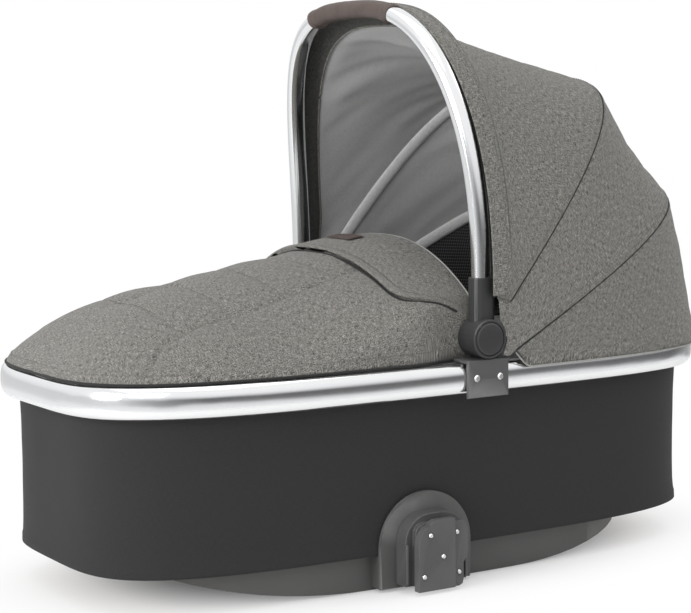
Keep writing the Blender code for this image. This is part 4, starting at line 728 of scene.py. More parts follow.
# The mattress: a foam pad in a knitted cover, crowned, with its piped seam round the side
# and its sides drawn in below and above the seam.
MATTRESS_INSET = 0.0389
MATTRESS_MIDDLE = 0.158
MATTRESS_LOW = 0.0458
MATTRESS_THICK = 0.032
MATTRESS_ROUND = 0.006
MATTRESS_CROWN = 0.0058
MATTRESS_PIPING = 0.0012
mattress_knit = woven(
    "mattress_knit", (0.66, 0.66, 0.64), (0.56, 0.56, 0.55), 1400.0, 0.15, 0.92,
    0.0003, 0.5, Sheen_Weight=0.3,
)


def mattress_place(u, v):
    """Out from the middle of the underside, up round the side, and in over the crown."""
    point, normal = outer_loop[round(u * (len(outer_loop) - 1))]
    if v < 0.1:
        inset, level = MATTRESS_ROUND + 0.10 * (1 - v / 0.1), MATTRESS_LOW
    elif v < 0.35:
        turn = (v - 0.1) / 0.25 * math.pi
        inset = MATTRESS_ROUND * (1 - math.sin(turn)) * 0.9
        level = MATTRESS_LOW + MATTRESS_THICK * (1 - math.cos(turn)) / 2
        inset += MATTRESS_PIPING * ridge(turn - math.pi / 2, 0.16)
    else:
        share = (v - 0.35) / 0.65
        inset = MATTRESS_ROUND * 0.9 + 0.118 * share
        level = MATTRESS_LOW + MATTRESS_THICK + MATTRESS_CROWN * math.sin(share * math.pi / 2)
        spot = Vector((point.x - normal.x * inset, point.y - normal.y * inset, 0.0))
        level += cloth_relief(spot, 0.05, 0.0012) * share
    inset = min(MATTRESS_INSET + inset, MATTRESS_MIDDLE)
    return Vector((point.x, point.y, level)) - normal * inset


baby_mattress = sheet_mesh(
    "baby_mattress", (480, 44), (liner_length, 0.3), mattress_place, merge=True, cap=True
)
dress(baby_mattress, mattress_knit, body="cot", stands_for="mattress")


# The carry handle: a flat-oval aluminium hoop, polished like the rail, that stands in the
# sleeves of the two side arms and leans a little towards the foot end.
HOOP_X = 0.033
HOOP_HALF_WIDTH = 0.193
HOOP_START = 0.330
HOOP_RISE = 0.298
HOOP_FOOT = 0.303
HOOP_SQUARENESS = 2.96
HOOP_LEAN = 0.042
HOOP_DRAWN_IN = 0.0115
HOOP_WIDTH = 0.018
HOOP_DEPTH = 0.022


def hoop_line(foot, count):
    """The middle of the hoop's tube, from one foot over the top to the other."""
    points = [Vector((HOOP_X, -HOOP_HALF_WIDTH, foot))]
    fine = 1600
    for k in range(fine + 1):
        turn = math.pi * k / fine
        share = abs(math.sin(turn)) ** (2 / HOOP_SQUARENESS)
        y = -signed_power(math.cos(turn), 2 / HOOP_SQUARENESS) * HOOP_HALF_WIDTH
        y *= 1 - HOOP_DRAWN_IN * share
        points.append(Vector((HOOP_X - HOOP_LEAN * share ** 2, y,
                              HOOP_START + HOOP_RISE * share)))
    points.append(Vector((HOOP_X, HOOP_HALF_WIDTH, foot)))
    return even_path(points, count)


def hoop_out(path):
    """The direction out of the hoop at each point, square to the hoop and in its plane."""
    count = len(path) - 1
    outs = []
    for k in range(count + 1):
        along = (path[min(k + 1, count)] - path[max(k - 1, 0)]).normalized()
        rear = Vector((1.0, 0.0, 0.0))
        rear = (rear - along * rear.dot(along)).normalized()
        outs.append((rear.cross(along), rear))
    return outs


def hoop_section(u, v):
    return oval_point(v * math.tau, HOOP_WIDTH, HOOP_DEPTH, 2.4)


def along_hoop(name, path, section, around):
    """A tube round a length of the hoop's line."""
    frames = hoop_out(path)
    return tube_piece(name, path, lambda k, point: frames[k][0], section, around)


carry_hoop = along_hoop("carry_hoop", hoop_line(HOOP_FOOT, 300), hoop_section, around=44)
dress(carry_hoop, mirror_metal, body="handle_body", stands_for="hoop")


# The grip: a sleeve of brown leather sewn round the top of the hoop, with a thicker cuff
# at each end.
GRIP_HALF = 0.083
GRIP_WALL = 0.0013
CUFF_REACH = 0.0095
CUFF_WALL = 0.0008
CUFF_ROUND = 0.0016


def leather_group():
    tree, given = surface_group(
        "leather_grain", {"Colour": (0.1, 0.07, 0.06)}, {"Pores": 900.0, "Wear": 0.4}
    )
    where = tree.nodes.new("ShaderNodeTexCoord").outputs["Object"]
    cells = node(tree, "ShaderNodeTexVoronoi", (("feature", "DISTANCE_TO_EDGE"),),
                 Vector=where, Scale=given["Pores"])
    cloud = noise_node(tree, where, Scale=40.0, Detail=6.0, Roughness=0.65)
    crease = math_node(tree, "MULTIPLY", cells.outputs["Distance"], 3.0)
    crease = math_node(tree, "MINIMUM", crease, 1.0)
    tone = math_node(tree, "MULTIPLY_ADD", crease, 0.35, 0.68)
    patchy = math_node(tree, "SUBTRACT", cloud, 0.5)
    patchy = math_node(tree, "MULTIPLY", patchy, given["Wear"])
    patchy = math_node(tree, "MULTIPLY_ADD", patchy, 1.8, 1.0)
    level = math_node(tree, "MULTIPLY", tone, patchy)
    rough = math_node(tree, "MULTIPLY_ADD", cloud, -0.25, 0.68)
    return close_group(tree, shaded(tree, given["Colour"], level), rough, crease)


brown_leather = finish_material(
    "brown_leather", leather_group(),
    {"Colour": (0.108, 0.080, 0.070), "Pores": 1100.0, "Wear": 0.5},
    0.0002, 0.4, Specular_IOR_Level=0.4,
)


def grip_section(u, v):
    edge = GRIP_HALF - abs(u - 0.5) * 2 * GRIP_HALF
    wall = GRIP_WALL
    if edge < CUFF_REACH:
        wall += CUFF_WALL * min(1.0, (CUFF_REACH - edge) / 0.0012)
    if edge < CUFF_ROUND:
        wall -= 0.0012 * (1 - edge / CUFF_ROUND) ** 2
    a, b = oval_point(v * math.tau, HOOP_WIDTH + 2 * wall, HOOP_DEPTH + 2 * wall, 2.35)
    rub = cloth_relief(Vector((u * 9.0, v * 5.0, 0.0)), 0.6, 0.00022)
    size = 1 + rub / 0.01
    return a * size, b * size


grip_path = even_path([p for p in hoop_line(HOOP_FOOT, 1200) if abs(p.y) <= GRIP_HALF], 96)
leather_grip = along_hoop("leather_grip", grip_path, grip_section, around=48)
dress(leather_grip, brown_leather, body="handle_body", stands_for="grip")

# The hood's two ribs: flat nylon bows that turn on the side pins and carry the cloth in its
# tunnels. Their edges are rounded as the other mouldings are.
RIB_EDGE = 0.0005
rounded_copy("mid_rib", "middle_bow", RIB_EDGE, joint_plastic)
rounded_copy("rear_rib", "rear_bow", RIB_EDGE, joint_plastic)

# The hood cloth: three panels of melange cloth, sewn together along the ribs, from the front
# band to a piped hem round the outside of the rail. A row of stitches runs before each rib.
PIVOT = Vector((0.031, 0.0, 0.267))
BOW_SQUARENESS = 3.6
MID_BOW = (math.radians(51.0), 0.362, 0.208, 0.0)
REAR_BOW = (math.radians(29.0), 0.366, 0.2125, 0.030)
HOOD_REACH = 0.362
HOOD_CLOTH = 0.0016
HOOD_HEM = 0.243
HOOD_HEM_EDGE = 0.2326
HOOD_SKIRT = 0.010
BAND_FOOT = 0.3135
BAND_END = 0.0292
BAND_STANDOFF = 0.0155
BAND_DRAWN_IN = 0.0085
BAND_TOP_BACK = 0.0036
BAND_FLARE = 0.0042
FLARE_TOP = 0.395
FLARE_HEIGHT = 0.070
STITCHES_BESIDE_SEAM = 0.0062
JOINT_CLEAR = 0.0236
SKIRT_START = 0.0765
ACROSS = 240


def eased(share):
    """0 to 1 along a share, with a slow start and end."""
    share = within(share)
    return share * share * (3 - 2 * share)


def bow_line(bow, start, inset=0.0):
    """Along the cloth over one rib, whose leg steps below the line from the joint."""
    angle, reach, width, crank = bow
    reach, width = reach - inset, width - inset
    power = 2 / BOW_SQUARENESS
    first = math.asin((start / reach) ** (1 / power))
    points = []
    fine = 1600
    for k in range(fine + 1):
        turn = first + (math.pi - 2 * first) * k / fine
        y = -signed_power(math.cos(turn), power) * width
        r = abs(math.sin(turn)) ** power * reach
        points.append(PIVOT + Vector((
            r * math.cos(angle) + crank * math.sin(angle), y,
            r * math.sin(angle) - crank * math.cos(angle),
        )))
    return even_path(points, ACROSS)


def band_line(inset, behind, lowest=0.0):
    """A line beside the hoop, which comes in and goes back a little towards its top, and
    stands off at its feet to pass outside the other panels when the hood folds."""
    path = hoop_line(BAND_FOOT, 900)
    points = []
    for point, (out, rear) in zip(path, hoop_out(path)):
        share = within((point.z - HOOP_START) / HOOP_RISE)
        flare = BAND_FLARE * eased((FLARE_TOP - point.z) / FLARE_HEIGHT)
        standoff = BAND_STANDOFF + flare - BAND_DRAWN_IN * share ** 2 - inset
        back = behind + BAND_TOP_BACK * share ** 4 - flare * 0.6
        points.append(point + out * standoff + rear * back)
    return even_path([point for point in points if point.z >= lowest], ACROSS)


def hem_line(inset, level, start):
    points = rail_outline(inset, level, -math.pi / 2, math.pi / 2)
    return even_path([p for p in points if p.x >= start], ACROSS)


def cloth_facing(point, u):
    """Out of the hood at a point: up and back in the middle, sideways near its two sides."""
    away = point - PIVOT
    away.y = 0.0
    away.normalize()
    side = min(1.0, abs(u - 0.5) * 2) ** 6
    sideways = Vector((0.0, math.copysign(side, u - 0.5), 0.0))
    return (away * (1 - side) + sideways).normalized()


def crowded(v):
    """Rows of faces lie closer together near the two seams than between them."""
    return v - 0.135 * math.sin(math.tau * v)


def panel_place(first, last, sag, dip, seams, folds, seed, skirt=0.0):
    """Cloth between two lines, slack between them, with a low ridge beside each seam."""
    def place(u, v):
        a = first[round(u * ACROSS)]
        b = last[round(u * ACROSS)]
        v = crowded(v)
        drop = 0.0
        if skirt > 0.0:
            drop = skirt * max(0.0, (v - 0.93) / 0.07)
            v = min(v / 0.93, 1.0)
        reach = (b - a).length
        point = a.lerp(b, v)
        inward = PIVOT - point
        inward.y = 0.0
        fade = min(1.0, inward.length / HOOD_REACH) ** 2
        depth = sag * math.sin(math.pi * v) * 4 * v * (1 - v)
        depth += dip * (1 - math.exp(-v / 0.045)) * (1 - v)
        point = point + inward.normalized() * depth * fade
        lift = 0.0
        for edge, seam in ((v * reach, seams[0]), ((1 - v) * reach, seams[1])):
            if seam:
                lift += 0.0008 * ridge(edge - 0.0045, 0.0024) - 0.0014 * ridge(edge, 0.0013)
        calm = min(1.0, v / 0.2, (1 - v) / 0.2) * min(1.0, reach / 0.10)
        wave = cloth_relief(Vector((point.x + seed, point.y, point.z)), 0.11, folds)
        slant = Vector(((point.x - point.z) * 2.0 + point.y, (point.x + point.z) * 0.4, seed))
        wave += cloth_relief(slant, 0.055, folds * 0.80)
        wave += math.sin((u + 0.11 * v) * 61.0 + seed) * ridge(v - 0.5, 0.3) * folds * 0.12
        point = point + cloth_facing(point, u) * (lift + wave * calm)
        from_joint = math.hypot(point.x - PIVOT.x, point.z - PIVOT.z)
        if abs(point.y) > 0.2 and from_joint < JOINT_CLEAR:
            point.x = PIVOT.x + math.sqrt(JOINT_CLEAR ** 2 - (point.z - PIVOT.z) ** 2)
        drop *= within((point.x - SKIRT_START) / 0.010) ** 0.5
        return point - Vector((0.0, 0.0, drop))
    return place


def share_of(share):
    """The v at which panel_place has gone the given share of the way across."""
    low, high = 0.0, 1.0
    for _ in range(30):
        middle = (low + high) / 2
        if crowded(middle) < share:
            low = middle
        else:
            high = middle
    return low


def piping(name, path, radius, material, body):
    """A cord along a path: a piping sewn into a fold of cloth along an edge, or a cord laid as
    painted shade in a crease or under an edge.
    """
    count = len(path) - 1

    def place(u, v):
        k = round(u * count)
        along = (path[min(k + 1, count)] - path[max(k - 1, 0)]).normalized()
        out = along.orthogonal().normalized()
        if abs(along.z) < 0.9:
            out = (Vector((0.0, 0.0, 1.0)) - along * along.z).normalized()
        turn = v * math.tau
        side = along.cross(out)
        return path[k] + (out * math.cos(turn) + side * math.sin(turn)) * radius

    piece = sheet_mesh(name, (count, 12), (line_length(path), math.tau * radius), place,
                       merge=True, cap=True)
    dress(piece, material, body=body)


def stitches(name, path, facings, material, body=None, bodies=None, length=0.0034,
             gap=0.0018, thick=0.00045):
    """Separate stitches of thread along a line, half sunk in the cloth."""
    count = max(2, round(line_length(path) / (length + gap)))
    spots = even_path(path, count)
    bm = bmesh.new()
    for k in range(count):
        a, b = spots[k], spots[k + 1]
        along = (b - a).normalized()
        out = facings[round(k / count * (len(facings) - 1))]
        out = (out - along * out.dot(along)).normalized()
        side = along.cross(out)
        middle = (a + b) / 2
        rings = []
        for reach, size in ((-0.36, 1.0), (0.36, 1.0)):
            spot = middle + along * length * reach
            rings.append([
                bm.verts.new(spot + out * thick * size * up + side * thick * size * across)
                for up, across in ((1.0, 0.0), (0.0, 1.0), (-0.6, 0.0), (0.0, -1.0))
            ])
        for ring, reach in ((rings[0], -0.5), (rings[1], 0.5)):
            tip = bm.verts.new(middle + along * length * reach - out * thick * 0.5)
            for n in range(4):
                bm.faces.new((ring[n], ring[(n + 1) % 4], tip))
        for n in range(4):
            m = (n + 1) % 4
            bm.faces.new((rings[0][n], rings[1][n], rings[1][m], rings[0][m]))
    bmesh.ops.recalc_face_normals(bm, faces=bm.faces)
    dress(finish_mesh(name, bm, smooth_below=80.0), material, body, bodies)


melange_thread = woven(
    "melange_thread", (0.16, 0.158, 0.142), (0.12, 0.118, 0.108), 2200.0, 0.2, 0.75,
    0.00005, 0.2,
)
pale_piping = woven(
    "pale_piping", (0.36, 0.36, 0.34), (0.28, 0.28, 0.265), 1900.0, 0.25, 0.8, 0.0001, 0.3
)


def with_ends(corner, line):
    """A line that goes on past both its ends to a corner beside the joint."""
    near = [Vector((x, line[0].y, z)) for x, z in corner]
    far = [Vector((x, line[-1].y, z)) for x, z in corner]
    return even_path(near + line + far[::-1], ACROSS)


mid_line = bow_line(MID_BOW, 0.050)
rear_line = bow_line(REAR_BOW, 0.024)
mid_edge = with_ends([(0.0455, 0.3118)], mid_line)
rear_edge = with_ends([(0.0500, 0.2478), (0.0580, 0.2466)], rear_line)
hood_hem = hem_line(-0.0035, HOOD_HEM, 0.078)
front_line = band_line(0.0, BAND_END + 0.0006)


def hood_panel(name, stands_for, lines, shape, material, bodies, thickness, rows=40,
               skirt=0.0):
    """One panel between two lines. Its shape is its sag, dip, seams, folds and their seed."""
    first, last = lines
    widest = max(line_length(first), line_length(last))
    spans = [(b - a).length + skirt for a, b in zip(first, last)]

    def cut(u, v):
        return u * widest, crowded(v) * spans[round(u * ACROSS)]

    piece = sheet_mesh(name, (ACROSS, rows), (1.0, 1.0),
                       panel_place(first, last, *shape, skirt), cut=cut)
    middle = piece.data.polygons[ACROSS * rows // 2 + ACROSS // 2]
    if middle.normal.dot(middle.center - PIVOT) < 0.0:
        piece.data.flip_normals()
    give_thickness(piece, "cloth_thickness", thickness)
    dress(piece, material, bodies=bodies, stands_for=stands_for)


def on_arc(angle, reach=0.26):
    a = math.radians(angle)
    return PIVOT + Vector((reach * math.cos(a), 0.0, reach * math.sin(a)))


FRONT_BODIES = ("handle_body", "mid_rib_body", on_arc(86), on_arc(53))
MID_BODIES = ("mid_rib_body", "rear_rib_body", on_arc(49), on_arc(24))
REAR_BODIES = ("rear_rib_body", "cot", on_arc(20), on_arc(-4))
FRONT_SHAPE = (0.004, 0.020, (False, True), 0.0022, 1.0)
MID_SHAPE = (0.008, 0.0, (True, True), 0.0024, 2.0)
REAR_SHAPE = (-0.003, 0.0, (True, False), 0.0020, 3.0)
hood_panel("hood_front_cloth", "hood_front_panel", (front_line, mid_edge), FRONT_SHAPE,
           melange_cloth, FRONT_BODIES, HOOD_CLOTH)
hood_panel("hood_middle_cloth", "hood_mid_panel", (mid_edge, rear_edge), MID_SHAPE,
           melange_cloth, MID_BODIES, HOOD_CLOTH)
hood_panel("hood_rear_cloth", "hood_rear_panel", (rear_line, hood_hem), REAR_SHAPE,
           melange_cloth, REAR_BODIES, HOOD_CLOTH, rows=48, skirt=HOOD_SKIRT)

seam_facing = [cloth_facing(point, k / ACROSS) for k, point in enumerate(mid_line)]
for name, first, last, shape, bodies in (
    ("mid_seam", front_line, mid_edge, FRONT_SHAPE, FRONT_BODIES),
    ("rear_seam", mid_edge, rear_edge, MID_SHAPE, MID_BODIES),
):
    place = panel_place(first, last, *shape)
    row = []
    for k in range(14, ACROSS - 13):
        across = 1 - share_of(STITCHES_BESIDE_SEAM / (last[k] - first[k]).length)
        row.append(place(k / ACROSS, across) + seam_facing[k] * 0.0004)
    stitches(name + "_stitches", row, seam_facing[14:-14], melange_thread,
             bodies=bodies)
# Painted shade: a thin charcoal cord sunk along each rib seam stands for the shade in the seam's
# crease.
for name, line, body in (
    ("mid_seam_line", mid_line, "mid_rib_body"), ("rear_seam_line", rear_line, "rear_rib_body"),
):
    sunk = [point - seam_facing[k] * 0.0005 for k, point in enumerate(line)]
    piping(name, sunk, 0.0006, charcoal_cloth, body=body)
hem_edge = hem_line(-0.0050, HOOD_HEM_EDGE, 0.086)
corner_near = [
    Vector((x, -0.2095, z)) for x, z in ((0.0672, 0.2500), (0.0735, 0.2428), (0.0790, 0.2368))
]
corner_far = [Vector((p.x, -p.y, p.z)) for p in reversed(corner_near)]
hem_edge = even_path(corner_near + hem_edge + corner_far, 300)
piping("hood_hem_piping", hem_edge, 0.0009, pale_piping, body="cot")

# The hood's inside: satin behind the first two panels, held to each rib by a paler tunnel of
# binding, and a black open mesh behind the rear panel that lets air through.
LINING_START = 0.069
LINING_INSET = 0.0072
LINING_CLOTH = 0.0008


def air_mesh_group():
    """Round holes in rows between black yarns. The holes take one flat colour, Behind, which is
    painted shade for what lies behind them.
    """
    tree, given = surface_group(
        "air_mesh", {"Yarn": (0.03, 0.03, 0.03), "Behind": (0.3, 0.3, 0.3)}, {"Holes": 260.0}
    )
    where = tree.nodes.new("ShaderNodeTexCoord").outputs["UV"]
    lay = node(tree, "ShaderNodeMapping", Vector=where, Rotation=(0.0, 0.0, math.radians(28.0)))
    split = node(tree, "ShaderNodeSeparateXYZ", Vector=lay.outputs[0]).outputs
    waves = []
    for axis in ("X", "Y"):
        turn = math_node(tree, "MULTIPLY", split[axis], given["Holes"])
        waves.append(math_node(tree, "SINE", math_node(tree, "MULTIPLY", turn, math.tau)))
    both = math_node(tree, "ABSOLUTE", math_node(tree, "MULTIPLY", *waves))
    hole = map_range(tree, both, 0.10, 0.32, kind="SMOOTHSTEP")
    colour = mix_colour(tree, hole, given["Yarn"], given["Behind"])
    rough = math_node(tree, "MULTIPLY_ADD", hole, 0.3, 0.55)
    raised = math_node(tree, "SUBTRACT", 1.0, hole)
    return close_group(tree, colour, rough, raised)


# Painted shade: the holes' near-black colour stands for the shaded cloth seen through the mesh.
black_mesh = finish_material(
    "black_mesh", air_mesh_group(),
    {"Yarn": (0.085, 0.085, 0.086), "Behind": (0.006, 0.006, 0.006), "Holes": 140.0},
    0.0004, 0.6,
)
lining_lines = (
    band_line(LINING_INSET, BAND_END, PIVOT.z + LINING_START),
    bow_line(MID_BOW, LINING_START, LINING_INSET),
    bow_line(REAR_BOW, LINING_START, LINING_INSET),
    hem_line(0.010, 0.2455, PIVOT.x + LINING_START),
)
SATIN_SHAPE = (0.006, 0.022, (False, False), 0.0080, 4.0)
hood_panel("hood_front_satin", "hood_front_lining", lining_lines[0:2], SATIN_SHAPE,
           satin_lining, FRONT_BODIES, LINING_CLOTH)
hood_panel("hood_middle_satin", "hood_mid_lining", lining_lines[1:3],
           (0.012, 0.0, (False, False), 0.0085, 5.3), satin_lining, MID_BODIES,
           LINING_CLOTH)
hood_panel("hood_rear_mesh", "hood_rear_lining", lining_lines[2:4],
           (-0.003, 0.0, (False, False), 0.0012, 6.0), black_mesh, REAR_BODIES,
           LINING_CLOTH)


tunnel_cloth = woven(
    "tunnel_cloth", (0.66, 0.66, 0.66), (0.58, 0.58, 0.58), 1900.0, 0.15, 0.7, 0.0001, 0.3,
    Sheen_Weight=0.15,
)
TUNNEL_HALF = 0.0075
TUNNEL_BULGE = 0.0042


def tunnel(name, bow, body):
    """A strip of binding sewn to the lining on both sides of a rib, rounded over it."""
    inner = bow_line(bow, LINING_START + 0.002, 0.0084)
    lower = bow_line(bow, LINING_START + 0.002, 0.0084 + TUNNEL_BULGE)
    across = Vector((-math.sin(bow[0]), 0.0, math.cos(bow[0])))

    def place(u, v):
        k = round(u * ACROSS)
        turn = math.pi * v
        crest = math.sin(turn) ** 0.8
        return inner[k].lerp(lower[k], crest) + across * math.cos(turn) * TUNNEL_HALF

    piece = sheet_mesh(name, (ACROSS, 16), (line_length(inner), 2.4 * TUNNEL_HALF), place)
    dress(piece, tunnel_cloth, body=body)
    line_length(inner)


tunnel("middle_tunnel", MID_BOW, "mid_rib_body")
tunnel("rear_tunnel", REAR_BOW, "rear_rib_body")


# The front band: a doubled strip of the hood cloth that runs behind the hoop and hangs free
# below its sleeves. Inside, a black binding closes its front edge, and a backing with a piped
# edge covers the front of the lining; the backing is coloured dark as painted shade.
BAND_START = 0.0042
BAND_CLOTH = 0.0020
BACKING_OVER_LINING = 0.0100
band_front = band_line(0.0, BAND_START)
band_rear = band_line(0.0, BAND_END)
band_inner = band_line(0.006, BAND_START + 0.004)


def band_place(u, v):
    k = round(u * ACROSS)
    point = band_front[k].lerp(band_rear[k], v)
    inward = (band_inner[k] - band_front[k]).normalized()
    curl = 0.0013 * (1 - min(v / 0.12, 1.0)) ** 2
    roll = 0.0006 * ridge(v - 0.92, 0.06) - 0.0010 * max(0.0, (v - 0.96) / 0.04)
    return point + inward * (curl - roll)


front_band = sheet_mesh("front_band", (ACROSS, 20), (line_length(band_front), 0.025), band_place)
side_face = front_band.data.polygons[ACROSS * 10 + ACROSS // 2]
if side_face.normal.z < 0.0:
    front_band.data.flip_normals()
give_thickness(front_band, "cloth_thickness", BAND_CLOTH)
dress(front_band, melange_cloth, body="handle_body",
      stands_for="hood_front_band")
line_length(band_front)
band_facing = [(band_front[k] - band_inner[k]).normalized() for k in range(ACROSS + 1)]
for name, share in (("band_front_stitches", 0.16), ("band_rear_stitches", 0.84)):
    row = []
    for k in range(1, ACROSS):
        row.append(band_front[k].lerp(band_rear[k], share) + band_facing[k] * 0.0005)
    stitches(name, row, band_facing, melange_thread, body="handle_body")
binding_front = band_line(0.0036, BAND_START + 0.0006)
binding_rear = band_line(0.0040, BAND_START + 0.0120)
band_binding = sheet_mesh(
    "band_binding", (ACROSS, 8), (line_length(binding_front), 0.019),
    lambda u, v: binding_front[round(u * ACROSS)].lerp(binding_rear[round(u * ACROSS)], v),
)
dress(band_binding, charcoal_cloth, body="handle_body")
line_length(binding_front)

# Painted shade: the band's inside is the hood cloth, coloured far darker here to stand for the
# shade it lies in.
band_backing_painted_shade = woven(
    "band_backing_painted_shade", (0.070, 0.069, 0.065), (0.046, 0.045, 0.042), 1700.0, 0.6, 0.88,
    0.0002, 0.4,
)
backing_front = band_line(0.0044, BAND_START + 0.0110, PIVOT.z + LINING_START)
satin_place = panel_place(*lining_lines[0:2], *SATIN_SHAPE)


def backing_place(u, v):
    """From the binding back over the lining's edge."""
    k = round(u * ACROSS)
    past = BACKING_OVER_LINING * max(0.0, (v - 0.6) / 0.4)
    span = (lining_lines[1][k] - lining_lines[0][k]).length
    point = satin_place(u, share_of(past / span))
    point -= cloth_facing(point, u) * 0.0022 + Vector((0.0030 * min(v / 0.6, 1.0), 0.0, 0.0))
    return backing_front[k].lerp(point, min(v / 0.6, 1.0))


band_backing = sheet_mesh("band_backing", (ACROSS, 20), (line_length(backing_front), 0.024),
                          backing_place)
dress(band_backing, band_backing_painted_shade, body="handle_body")
line_length(backing_front)
# Painted shade: a thin cord sunk beside the band's rear edge stands for the shade where the band
# lies on the cloth.
band_edge = [front_line[k] - band_facing[k] * 0.0006 for k in range(ACROSS + 1)]
piping("band_edge_painted_shade", band_edge, 0.0006, melange_thread, body="handle_body")
backing_edge = [backing_place(k / ACROSS, 1.0) for k in range(ACROSS + 1)]
piping("band_piping", backing_edge, 0.0013, melange_cloth, body="handle_body")


# The apron: two layers of the hood cloth, quilted over wadding, stretched from the rail at
# the foot end up to the handle, where its end folds back over itself. Its hem is bound in
# black, and the quilting runs along both shoulders and across between them.
APRON_HALF_LENGTH = RAIL_HALF_LENGTH - 0.0045
APRON_HALF_WIDTH = RAIL_HALF_WIDTH - 0.0115
APRON_TIP = RAIL_X - APRON_HALF_LENGTH
APRON_HEM = 0.2413
APRON_LIP = 0.005
APRON_END = 0.026
APRON_SIDE_END = 0.030
APRON_KNEE = -0.220
APRON_CROWN = 0.112
APRON_INSIDE_ARM = 0.0130
APRON_LIFT = 0.0065
APRON_WADDING = 0.0030
HEM_STITCHES = 0.0085
UNDER_FLAP = -0.075
QUILT_DEPTH = 0.0027
QUILT_PUFF = 0.0019
QUILT_SHOULDER = (
    (-0.385, 0.172), (-0.347, 0.146), (-0.321, 0.127), (-0.302, 0.120), (-0.268, 0.112),
    (-0.213, 0.107), (-0.178, 0.103), (-0.136, 0.096), (-0.060, 0.088),
)
QUILT_CROSS = ((-0.307, 0.112), (-0.240, 0.105), (-0.172, 0.100), (-0.104, 0.092))


def apron_half_width(x):
    """Half the cover's width, which is drawn in to pass inside the arms at the head end."""
    share = min(abs(x - RAIL_X) / APRON_HALF_LENGTH, 1.0)
    width = APRON_HALF_WIDTH * (1 - share ** RAIL_SQUARENESS) ** (1 / RAIL_SQUARENESS)
    return width - APRON_INSIDE_ARM * eased((x + 0.055) / 0.063)


def apron_rise(x):
    """How far the cover's middle stands above its hem."""
    share = within((x - APRON_TIP) / (APRON_END - APRON_TIP))
    crown = APRON_CROWN * (1 - (1 - share) ** 1.6) ** 0.58
    return crown + APRON_LIFT * eased((x + 0.070) / 0.065)


def apron_shape(s, x):
    """The share of the rise at s from the middle: round at the foot, steeper at the head."""
    k = eased((x + 0.200) / 0.220)
    steep = (1 - 0.542 * s ** 2.35) * math.sqrt(max(1 - s ** 75, 0.0))
    return (1 - s * s) * (1 - k) + steep * k


def apron_height(x, y):
    s = min(abs(y) / max(apron_half_width(x), 1e-6), 1.0)
    return APRON_HEM + APRON_LIP + apron_rise(x) * apron_shape(s, x)


def apron_spokes(count):
    """Spokes from the hem to the centre line on the -Y side, which fan out at the foot."""
    fine = 2400
    hem = []
    for k in range(61):
        x = APRON_SIDE_END * (1 - k / 60)
        hem.append(Vector((x, -apron_half_width(x), 0.0)))
    for k in range(fine + 1):
        turn = math.pi * k / fine / 2
        x = RAIL_X - math.sin(turn) ** (2 / RAIL_SQUARENESS) * APRON_HALF_LENGTH
        if x < 0.0:
            hem.append(Vector((x, -apron_half_width(x), 0.0)))
    hem = even_path(hem, count)
    knee = next(k for k, point in enumerate(hem) if point.x < APRON_KNEE)
    spokes = []
    for k, point in enumerate(hem):
        if k < knee:
            share = (point.x - APRON_KNEE) / (APRON_SIDE_END - APRON_KNEE)
            spine = APRON_KNEE + share * (APRON_END - APRON_KNEE)
        else:
            share = (k - knee) / (count - knee)
            spine = hem[knee].x + share * (-0.300 - hem[knee].x)
        spokes.append((point, spine, k < knee))
    return spokes


SPOKES = 230
spokes = apron_spokes(SPOKES)


def quilt_lines():
    lines = []
    for side in (-1, 1):
        lines.append(even_path([Vector((x, y * side, 0.0)) for x, y in QUILT_SHOULDER], 400))
    for x, reach in QUILT_CROSS:
        bowed = []
        for k in range(41):
            y = reach * (k / 20 - 1)
            bowed.append(Vector((x + 0.012 * (y / reach) ** 2, y, 0.0)))
        lines.append(even_path(bowed, 220))
    return lines


quilt_points = [(point, n > 1) for n, line in enumerate(quilt_lines()) for point in line]
quilting = kdtree.KDTree(len(quilt_points))
for number, (point, kind) in enumerate(quilt_points):
    quilting.insert(point, number)
quilting.balance()


def quilt_relief(x, y):
    """Wadding stands up between the quilting lines and is pulled down along them."""
    spot, number, away = quilting.find(Vector((x, y, 0.0)))
    depth = QUILT_DEPTH
    if quilt_points[number][1]:
        depth *= 0.35 + 0.65 * ridge(y - 0.01, 0.055)
    puff = QUILT_PUFF * (1 - ridge(away, 0.024)) * (1.0 if x > -0.36 else 0.5)
    return puff - depth * ridge(away, 0.0030)


def apron_spot(k, s):
    """A point on the plain cover, on spoke k of the two sides, at s from the centre line."""
    near = k <= SPOKES
    point, spine, side = spokes[k if near else 2 * SPOKES - k]
    if side:
        x = point.x + (spine - point.x) * (1 - s ** 6)
        y = -s * apron_half_width(x)
        rise = apron_rise(x)
    else:
        x = point.x + (spine - point.x) * (1 - s)
        y = point.y * s
        rise = apron_rise(spine)
    z = APRON_HEM + APRON_LIP + rise * apron_shape(s, min(x, point.x))
    return Vector((x, y if near else -y, z))


def apron_place(u, v):
    s = 1 - v ** 1.8
    point = apron_spot(round(u * 2 * SPOKES), s)
    calm = min(1.0, (1 - s) * 9)
    puff = quilt_relief(point.x, point.y)
    puff += cloth_relief(Vector((point.x, point.y, 0.3)), 0.075, 0.0014)
    puff += cloth_relief(Vector((point.x * 1.3, point.y, 0.9)), 0.028, 0.0005)
    steep = min(1.0, abs(point.y) / apron_half_width(point.x))
    outward = Vector((0.0, math.copysign(steep ** 8, point.y), 1.0 - 0.7 * steep ** 8))
    turned_in = 0.0014 * ridge(point.z - APRON_HEM - APRON_LIP, 0.0025) * 2.2
    return point + outward.normalized() * (puff * calm) - Vector((0.0, 0.0, turned_in))


quilted_apron = sheet_mesh("quilted_apron", (2 * SPOKES, 96), (0.95, 0.22), apron_place,
                           merge=True)
if sum(face.normal.z * face.area for face in quilted_apron.data.polygons) < 0.0:
    quilted_apron.data.flip_normals()


